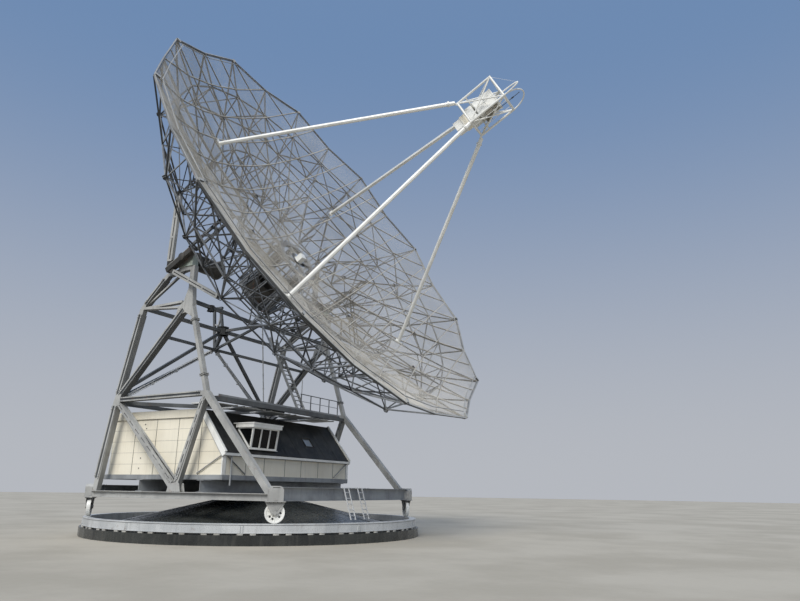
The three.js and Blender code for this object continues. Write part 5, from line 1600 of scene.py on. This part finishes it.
@dataclass(frozen=True)
class Struts:
    """The bolted collars near the cage on the four struts."""

    foot_radius: float = 7.457
    cage_half: float = 0.787
    cage_back: float = 12.087
    radius: float = 0.11
    collar_from_top: float = 0.38
    collar_gap: float = 0.03
    collar_half: float = 0.02
    collar_rise: float = 0.04

    def build(self) -> None:
        """Makes the collars on every strut."""
        work = Metalwork()
        for k in range(4):
            phi = (2 * k + 1) * math.pi / 4
            foot = DISH.under(self.foot_radius, phi, 0.0)
            top = DISH.at(self.cage_half * math.sqrt(2), phi, self.cage_back)
            along = (top - foot).normalized()
            centre = top - along * self.collar_from_top
            low, high, half = self.radius * 0.94, self.radius + self.collar_rise, self.collar_half
            for shift in (-self.collar_gap, self.collar_gap):
                profile = ((low, -half), (high, -half), (high, half), (low, half))
                work.turned(profile, centre + along * shift, along, 20)
            across, up = work.axes(foot, top, Z_AXIS)
            for turn in turns(8):
                out = across * math.cos(turn) + up * math.sin(turn)
                work.bolt(centre + out * (self.radius + 0.022) + along * 0.05, along, 0.011, 0.014)
        work.piece("strut_collars", WHITE, Body.DISH.value)


@dataclass(frozen=True)
class FocusCage:
    """The tubes of the focus cage, its guard hoops, the receiver's panels and the fittings."""

    half: float = 0.787
    back: float = 12.087
    length: float = 2.162
    tube: float = 0.058
    brace: float = 0.038
    spider: float = 12.642
    guard: float = 0.036
    guard_corner: float = 0.732
    guard_reaches: tuple[float, float] = (0.869, 0.889)
    loop_width: float = 0.22
    skirt: tuple[float, float, float] = (0.4, 12.2, 12.6)
    horn: tuple[float, float, float] = (0.27, 11.323, 11.757)
    receiver_half: float = 0.42
    receiver_length: float = 1.15
    receiver_gap: float = 0.0403
    receiver_bands: tuple[float, ...] = (0.05, 0.6, 1.1)
    band: Point = (0.02, 0.04)
    rib: Point = (0.05, 0.02)
    rib_inset: float = 0.1
    units: tuple[tuple[float, float, float, float], ...] = ((-0.2, 0.12, 0.3, 0.2), (0.15, 0.3, 0.36, 0.26),
                                                            (0.1, 0.78, 0.24, 0.18))
    feed_boxes: tuple[Place, ...] = ((0.31, -0.33, 0.4), (0.27, -0.764, -0.33))
    feed_bands: int = 3
    rod_place: Point = (-0.7, 0.1)
    rod_ends: Point = (-0.77, 0.7)
    rod_parts: tuple[Place, ...] = ((0.0, 1.0, 0.016), (0.66, 0.76, 0.034), (0.98, 1.0, 0.022))
    conduit_half: float = 0.3
    conduit_bar: float = 0.8
    guard_inset: float = 0.055

    def build(self) -> None:
        """Makes the frame, the receiver's parts and the fittings."""
        self._frame()
        self._receiver()
        self._feed()
        self._fittings()

    def _frame(self) -> None:
        """Builds the cage of round tubes with crossed braces and two guard hoops."""
        work = Metalwork()
        c = self.half - self.tube
        low, high = self.back + self.tube, self.back + self.length - self.tube
        corners = [(c, c), (-c, c), (-c, -c), (c, -c)]
        for (x, y), (nx, ny) in zip(corners, corners[1:] + corners[:1]):
            work.tube(DISH.point(x, y, low - self.tube), DISH.point(x, y, high + self.tube), self.tube, 12)
            for z in (low, high):
                work.tube(DISH.point(x, y, z), DISH.point(nx, ny, z), self.tube, 12)
            work.tube(DISH.point(x, y, low), DISH.point(nx, ny, high), self.brace, 10)
            work.tube(DISH.point(x, y, high), DISH.point(nx, ny, low), self.brace, 10)
        for s in (-1, 1):
            work.tube(DISH.point(c, s * c, self.spider), DISH.point(-c, -s * c, self.spider), 0.04, 10)
        steps, g = 24, self.guard_corner
        hoop, loop = self.guard_reaches
        end = self.back + self.length - self.guard_inset
        arc = [math.pi * k / steps for k in range(steps + 1)]
        half = self.loop_width / 2
        work.hoop([DISH.point(-g, g * math.cos(t), end + hoop * math.sin(t)) for t in arc], self.guard)
        work.hoop([DISH.point(-g + half * (1 - math.cos(t)), g, end + loop * math.sin(t)) for t in arc],
                  self.guard)
        made = work.piece("cage_frame", WHITE, Body.DISH.value)
        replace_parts(made, "focus_cage")

    def _receiver(self) -> None:
        """Adds bands, ribs and lids on the receiver, and the boxes under it in cream darkened as painted
        shade.
        """
        work, dark = Metalwork(), Metalwork()
        base = self.spider + self.receiver_gap
        low, high = base + self.rib_inset, base + self.receiver_length - self.rib_inset
        half = self.receiver_half
        proud, deep = self.band
        for z in self.receiver_bands:
            work.plate(DISH.square(half + proud, base + z - deep / 2), DISH.sight * deep)
        up = DISH.up
        for face in (-1, 1):
            side = face * (half + 0.002)
            work.bar(DISH.point(side, 0, low), DISH.point(side, 0, high), *self.rib, up)
            work.bar(DISH.point(0, side, low), DISH.point(0, side, high), *self.rib, Y_AXIS)
        reach, low, high = self.skirt
        work.plate(DISH.square(reach, low), DISH.sight * (high - low))
        work.piece("receiver_ribs", WHITE, Body.DISH.value)
        for y, z, long, deep in self.units:
            seat = DISH.point(-half + 0.002, y, base + z)
            lid = DISH.point(-half - deep - 0.002, y, base + z)
            dark.panel(seat, -Y_AXIS, DISH.sight, oblong(0.14, 0, long), up * -deep)
            dark.panel(lid, -Y_AXIS, DISH.sight, oblong(0.1, 0.04, long - 0.04), up * -0.02)
        dark.piece("receiver_units", UNIT_SHADE, Body.DISH.value)

    def _feed(self) -> None:
        """Bands the two boxes of the feed and adds its mouth."""
        work = Metalwork()
        for half, z0, z1 in self.feed_boxes:
            for k in range(self.feed_bands):
                z = self.back + z0 + 0.02 + (z1 - z0 - 0.04) * k / (self.feed_bands - 1) * 0.9
                work.plate(DISH.square(half + 0.012, z), DISH.sight * 0.028)
        half, low, high = self.horn
        middle = DISH.point(0, 0, 0)
        for out, across in ((DISH.up, -Y_AXIS), (-Y_AXIS, DISH.up)):
            for face in (-1, 1):
                seat = middle + out * face * half
                work.panel(seat, across, DISH.sight, oblong(half, low, high), out * face * 0.006)
        work.piece("feed_bands", WHITE, Body.DISH.value)

    def _fittings(self) -> None:
        """Adds the black rod with its coupling, the thin stay and the conduits."""
        dark, light = Metalwork(), Metalwork()
        end = self.back + self.length - self.tube
        a, b = (DISH.point(*self.rod_place, end + z) for z in self.rod_ends)
        for start, stop, radius in self.rod_parts:
            dark.tube(a.lerp(b, start), a.lerp(b, stop), radius, 10)
        dark.piece("guide_rod", MACHINE, Body.DISH.value)
        c = self.half - self.tube
        tip = DISH.point(-self.guard_corner + self.loop_width / 2, self.guard_corner,
                         self.back + self.length - self.guard_inset + self.guard_reaches[1])
        light.tube(DISH.point(c, c, end), tip, 0.006, 6)
        half, z = self.conduit_half, end - self.conduit_bar
        for y in (-half, half):
            light.tube(DISH.point(-c, y, self.back + self.tube), DISH.point(-c, y, end), 0.014, 8)
        light.tube(DISH.point(-c, -half, z), DISH.point(-c, half, z), 0.02, 8)
        light.piece("cage_stays", WHITE, Body.DISH.value)


@dataclass(frozen=True)
class Cabin:
    """Panel joints, trims, the dormer with its panes, rods, roof laps and the roof light's curb."""

    rear: float = -5.4
    front: float = 2.16
    half: float = 5.15
    floor: float = 2.79
    eave: float = 3.8
    roof: float = 5.8
    ridge: float = 0.66
    eave_x: float = 2.26
    joint_half: float = 0.014
    level_half: float = 0.005
    vent: Point = (0.03, 0.02)
    gable_joints: tuple[float, ...] = (-3.75, -2.28, -0.80, 0.68)
    gable_levels: tuple[float, ...] = (3.30, 3.84, 4.38, 4.92)
    front_joints: tuple[float, ...] = (-4.96, -3.62, -2.29, -0.67, 0.69, 2.21, 3.65, 4.96)
    fascia: float = 5.44
    dormer_y: tuple[float, float] = (-3.4, -1.42)
    dormer_z: tuple[float, float] = (4.05, 5.06)
    dormer_lean: tuple[float, float] = (2.16, 2.29)
    dormer_panes: int = 3
    dormer_post: float = 0.1
    dormer_bar: float = 0.06
    dormer_eaves: tuple[float, float] = (0.13, 0.12)
    dormer_lid: float = 5.29
    overhang: float = 0.06
    cover_half: float = 0.013
    cover_proud: float = 0.012
    corner_post: Point = (0.045, 0.02)
    verge: Point = (0.2, 0.07)
    verge_strip: Point = (0.025, 0.06)
    upstand: Point = (0.1, 0.12)
    glass_edge: float = 0.05
    cheek_rail: float = 0.1
    sill_proud: float = 0.04
    pipe_radii: Point = (0.04, 0.055)
    upstand_shift: float = 0.03
    lip: float = 0.02
    fascia_proud: float = 0.075
    rear_fascia: Place = (0.09, 0.05, 0.07)
    corner_board: float = 0.18
    edge_beam: Point = (-0.2, 0.01)
    edge_proud: float = 0.03
    gutter: tuple[float, float, float, float] = (2.2, 2.29, 0.14, 0.02)
    stay: float = 0.025
    side_stay: tuple[Point, Point] = ((2.2, 3.72), (0.66, 2.86))
    front_stay: tuple[Point, Point] = ((5.0, 3.68), (3.68, 2.86))
    frame_depth: float = 0.06
    sill: float = 0.07
    pane: float = 0.008
    vents: tuple[Point, ...] = ((-3.1, 5.2), (-3.15, 4.76), (-3.2, 3.58), (-3.25, 3.1), (-3.0, 5.0))
    door_half: float = 0.68
    deck_rear: float = -5.85
    downpipe: tuple[float, float, float, float] = (0.07, -4.68, 3.72, 2.34)
    pipe_clips: tuple[float, ...] = (2.7, 3.2, 3.66)
    roof_strips: int = 9
    lap: Point = (0.07, 0.014)
    light_y: Point = (1.6, 2.4)
    light_z: Point = (4.45, 4.9)

    def slope_x(self, height: float) -> float:
        """Gives the roof slope's outer line."""
        return self.eave_x + (self.ridge - self.eave_x) * (height - self.eave) / (self.roof - self.eave)

    def build(self) -> None:
        """Makes every piece of the cabin."""
        self._panel_joints()
        self._trims()
        self._rods()
        self._roof_laps()
        self._dormer()
        self._curb()

    def _on_gable(self, work: Metalwork, side: int, x: Point, z: Point, proud: float) -> None:
        """Adds a flat block on a gable."""
        low, high = sorted((side * self.half, side * (self.half + proud)))
        work.block((x[0], low, z[0]), (x[1], high, z[1]))

    def _panel_joints(self) -> None:
        """Lays thin cover strips and shadow lines over the joints between the wall panels."""
        work, vent = Metalwork(), Metalwork()
        for side in (-1, 1):
            for x in self.gable_joints:
                top = self.fascia if x < self.ridge else self.eave + (self.roof - self.eave) * 0.8
                span = (x - self.joint_half, x + self.joint_half)
                self._on_gable(work, side, span, (self.floor + 0.02, top), self.cover_proud)
            for z in self.gable_levels:
                end = min(self.front, self.slope_x(z) - 0.2)
                levels = (z - self.level_half, z + self.level_half)
                self._on_gable(work, side, (self.rear, end), levels, 0.004)
            span = (self.rear - self.overhang, self.ridge - 0.1)
            self._on_gable(work, side, span, (self.fascia - 0.02, self.fascia), 0.05)
        foot, half, proud = self.floor + 0.02, self.cover_half, self.cover_proud
        for y in self.front_joints:
            work.block((self.front, y - half, foot), (self.front + proud, y + half, self.eave - 0.16))
            if abs(y) > self.door_half:
                work.block((self.rear - proud, y - half, foot), (self.rear, y + half, self.fascia))
        work.piece("panel_joints", JOINT, Body.CARRIAGE.value)
        for x, z in self.vents:
            for side in (-1, 1):
                spot = Vector((x, side * self.half, z))
                radius, proud = self.vent
                vent.tube(spot, spot + Y_AXIS * side * proud, radius, 8)
        vent.piece("wall_vents", MACHINE, Body.CARRIAGE.value)

    def _trims(self) -> None:
        """Adds the fascia, the verges, the gutter, the corner posts and the floor's edge."""
        cream, white, grey = Metalwork(), Metalwork(), Metalwork()
        top = self.roof + self.lip
        for side in (-1, 1):
            span = (self.rear - self.overhang, self.ridge - 0.06)
            self._on_gable(cream, side, span, (self.fascia, top), self.fascia_proud)
            self._verge(white, grey, side)
            for x, head in ((self.rear + 0.03, self.fascia), (self.front - 0.03, self.eave - 0.1)):
                half, proud = self.corner_post
                self._on_gable(white, side, (x - half, x + half), (self.floor, head), proud)
        back, nose, wide = self.rear_fascia
        cream.block((self.rear - back, -self.half - wide, self.fascia),
                    (self.rear - nose, self.half + wide, top))
        (back, nose, low, high), wide = self.gutter, self.half + self.overhang
        white.block((back, -wide, self.eave - low), (nose, wide, self.eave - high))
        foot, head = self.floor, self.eave - self.gutter[2]
        for side in (-1, 1):
            low, high = sorted((side * (self.half - self.corner_board), side * (self.half + self.lip)))
            white.block((self.front - 0.002, low, foot), (self.front + self.lip, high, head))
        low, high = (self.floor + z for z in self.edge_beam)
        grey.block((self.front, -self.half - self.lip, low),
                   (self.front + self.edge_proud, self.half + self.lip, high))
        for side in (-1, 1):
            self._on_gable(grey, side, (self.deck_rear, self.front), (low, high), self.edge_proud)
        cream.piece("cabin_fascia", CREAM, Body.CARRIAGE.value)
        white.piece("cabin_trims", WHITE, Body.CARRIAGE.value)
        grey.piece("floor_edge", BEAM, Body.CARRIAGE.value)

    def _verge(self, white: Metalwork, grey: Metalwork, side: int) -> None:
        """Runs the verge board, its dark strip and the upstand along the roof's slope.

        Args:
            white: The piece with the boards.
            grey: The piece with the strip.
            side: The gable's side.
        """
        y = side * (self.half + 0.05)
        low = Vector((self.eave_x + self.lip, y, self.eave - 0.1))
        high = Vector((self.ridge - self.lip, y, self.roof + self.lip))
        along = (high - low).normalized()
        inward = along.cross(Y_AXIS) * (1 if along.cross(Y_AXIS).x < 0 else -1)
        for work, drop, shape in ((white, 0.05, self.verge), (grey, 0.16, self.verge_strip)):
            work.bar(low + inward * drop, high + inward * drop, *shape, Y_AXIS)
        lift = Vector((low.x - self.ridge, 0, self.roof - self.eave)).normalized() * self.upstand_shift
        lift -= Y_AXIS * side * self.upstand_shift
        white.bar(low + lift + Z_AXIS * 0.1, high + lift, *self.upstand, Y_AXIS)

    def _dormer(self) -> None:
        """Builds the dormer with its leaning window, slim bars and boxed eaves, and its dark panes."""
        frame, glass = Metalwork(), Metalwork()
        (y0, y1), (low, high) = self.dormer_y, self.dormer_z
        foot, head = self.dormer_lean
        thick, sill, width = self.frame_depth, self.sill, y1 - y0
        inset = thick / 2
        for k in range(self.dormer_panes + 1):
            wide = self.dormer_post if k in (0, self.dormer_panes) else self.dormer_bar
            y = y0 + wide / 2 + (width - wide) * k / self.dormer_panes
            frame.bar(Vector((foot - inset, y, low)), Vector((head - inset, y, high)), wide, thick, X_AXIS)
        lintel, cheek, pane_foot = high - self.lip, low + self.glass_edge, low + self.glass_edge + 0.01
        for x, z, deep in ((foot, low + sill / 2, sill), (head, lintel, thick)):
            frame.bar(Vector((x - inset, y0, z)), Vector((x - inset, y1, z)), thick, deep, Z_AXIS)
        inner, over = self.slope_x(high) + 0.03, self.slope_x(low) + 0.02
        for side, y in ((-1, y0), (1, y1)):
            seat = y - side * inset
            a, b = Vector((over, seat, cheek)), Vector((inner, seat, high))
            frame.bar(a, b, thick, self.cheek_rail, Y_AXIS.cross(b - a).normalized())
            for x0, x1, z, deep in ((inner, head, lintel, thick), (over, foot, low + sill / 2, sill)):
                frame.bar(Vector((x0, seat, z)), Vector((x1 - inset, seat, z)), thick, deep, Z_AXIS)
            corners = [Vector((over, seat, pane_foot)), Vector((foot - self.glass_edge, seat, pane_foot)),
                       Vector((head - self.glass_edge, seat, high)), Vector((inner, seat, high))]
            glass.plate(corners, Y_AXIS * self.pane)
        corners = [Vector((x - self.glass_edge, y, z)) for x, y, z in
                   ((foot, y0 + inset, low + inset), (foot, y1 - inset, low + inset),
                    (head, y1 - inset, high), (head, y0 + inset, high))]
        glass.plate(corners, X_AXIS * -self.pane)
        (out, side), lid = self.dormer_eaves, self.dormer_lid
        near, far, nose, proud = y0 - side, y1 + side, head + out, self.sill_proud
        soffit = lid - proud
        frame.block((self.slope_x(high) + 0.01, near + inset, high), (nose - inset, far - inset, soffit))
        frame.block((self.slope_x(soffit) + 0.01, near, soffit - 0.01), (nose, far, lid))
        frame.block((over, y0 - proud, low - inset), (foot + proud, y1 + proud, low + 0.003))
        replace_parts(frame.piece("dormer_frame", WHITE, Body.CARRIAGE.value), "cabin_dormer")
        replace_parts(glass.piece("dormer_panes", GLASS, Body.CARRIAGE.value), "dormer_glass")

    def _rods(self) -> None:
        """Adds the tie rods across the corner panels and the downpipe with its clips."""
        work = Metalwork()
        for side in (-1, 1):
            y = side * (self.half + 0.06)
            work.tube(*(Vector((x, y, z)) for x, z in self.side_stay), self.stay, 8)
            x = self.front + 0.05
            work.tube(*(Vector((x, side * y, z)) for y, z in self.front_stay), self.stay, 8)
        out, y, top, foot = self.downpipe
        pipe, clip = self.pipe_radii
        clips = ((z - self.lip, z + self.lip, clip) for z in self.pipe_clips)
        for high, low, radius in ((top, foot, pipe), *clips):
            work.tube(Vector((self.front + out, y, high)), Vector((self.front + out, y, low)), radius, 10)
        work.piece("cabin_rods", BEAM, Body.CARRIAGE.value)

    def _roof_laps(self) -> None:
        """Lays the flat laps of the roofing on the slope and the flat roof."""
        work = Metalwork()
        wide, thick = self.lap
        for k in range(1, self.roof_strips):
            y = -self.half + 2 * self.half * k / self.roof_strips
            windows = ((self.dormer_y, 0.2), (self.light_y, 0.1))
            if any(low - gap < y < high + gap for (low, high), gap in windows):
                continue
            a = Vector((self.slope_x(self.eave + 0.02), y, self.eave + 0.02))
            b = Vector((self.slope_x(self.roof - 0.01), y, self.roof - 0.01))
            work.bar(a, b, wide, thick, X_AXIS + Z_AXIS * 0.8)
            a, b = Vector((self.ridge, y, self.roof)), Vector((self.rear, y, self.roof))
            work.bar(a, b, wide, thick, Z_AXIS)
        work.piece("roof_laps", ROOFING, Body.CARRIAGE.value)

    def _curb(self) -> None:
        """Adds the curb round the roof light."""
        curb = Metalwork()
        (y0, y1), (low, high) = self.light_y, self.light_z
        for y in (y0 + 0.02, y1 - 0.02):
            a, b = (Vector((self.slope_x(z), y, z)) for z in (low, high))
            curb.bar(a, b, 0.06, 0.05, X_AXIS)
        for z in (low, high):
            a, b = (Vector((self.slope_x(z), y, z)) for y in (y0, y1))
            curb.bar(a, b, 0.06, 0.05, X_AXIS)
        curb.piece("roof_light_curb", ROOFING, Body.CARRIAGE.value)


@dataclass(frozen=True)
class Access:
    """The middle rail, kick board and grating of the service platform."""

    deck: float = 6.4
    front: float = 1.49
    end: float = 5.1
    rail: tuple[float, float, float] = (1.3, 4.95, 0.48)
    kick_board: float = 0.09
    slats: int = 60
    slat_ends: Point = (0.52, 1.44)
    slat_half: float = 0.006

    def build(self) -> None:
        """Makes the rail's middle bar, the kick board and the grating."""
        rail = Metalwork()
        start, end, rise = self.rail
        rail.tube(*(Vector((self.front, y, self.deck + rise)) for y in (start, end)), 0.015, 8)
        rail.block((self.front - 0.01, -self.end, self.deck),
                   (self.front + 0.012, self.end, self.deck + self.kick_board))
        rail.piece("platform_rails", BEAM, Body.CARRIAGE.value)
        grate = Metalwork()
        (back, front), reach = self.slat_ends, self.end - 0.1
        for k in range(self.slats):
            y = -reach + 2 * reach * k / (self.slats - 1)
            grate.block((back, y - self.slat_half, self.deck - 0.004),
                        (front, y + self.slat_half, self.deck + 2 * self.slat_half))
        grate.piece("deck_grating", BEAM, Body.CARRIAGE.value)


def main() -> None:
    """Builds the scene, sub-assembly by sub-assembly."""
    logging.basicConfig(level=logging.INFO, format="%(name)s: %(message)s")
    dress_cad_nodes(frame["nodes"])
    for part in (Viewpoint(), Studio(), Plinth(), Carriage(), Towers(), UpperWorks(), Reflector(),
                 BackStructure(), Cradles(), Struts(), FocusCage(), Cabin(), Access()):
        part.build()
        LOG.info("built %s", type(part).__name__)


if __name__ == "__main__":
    main()
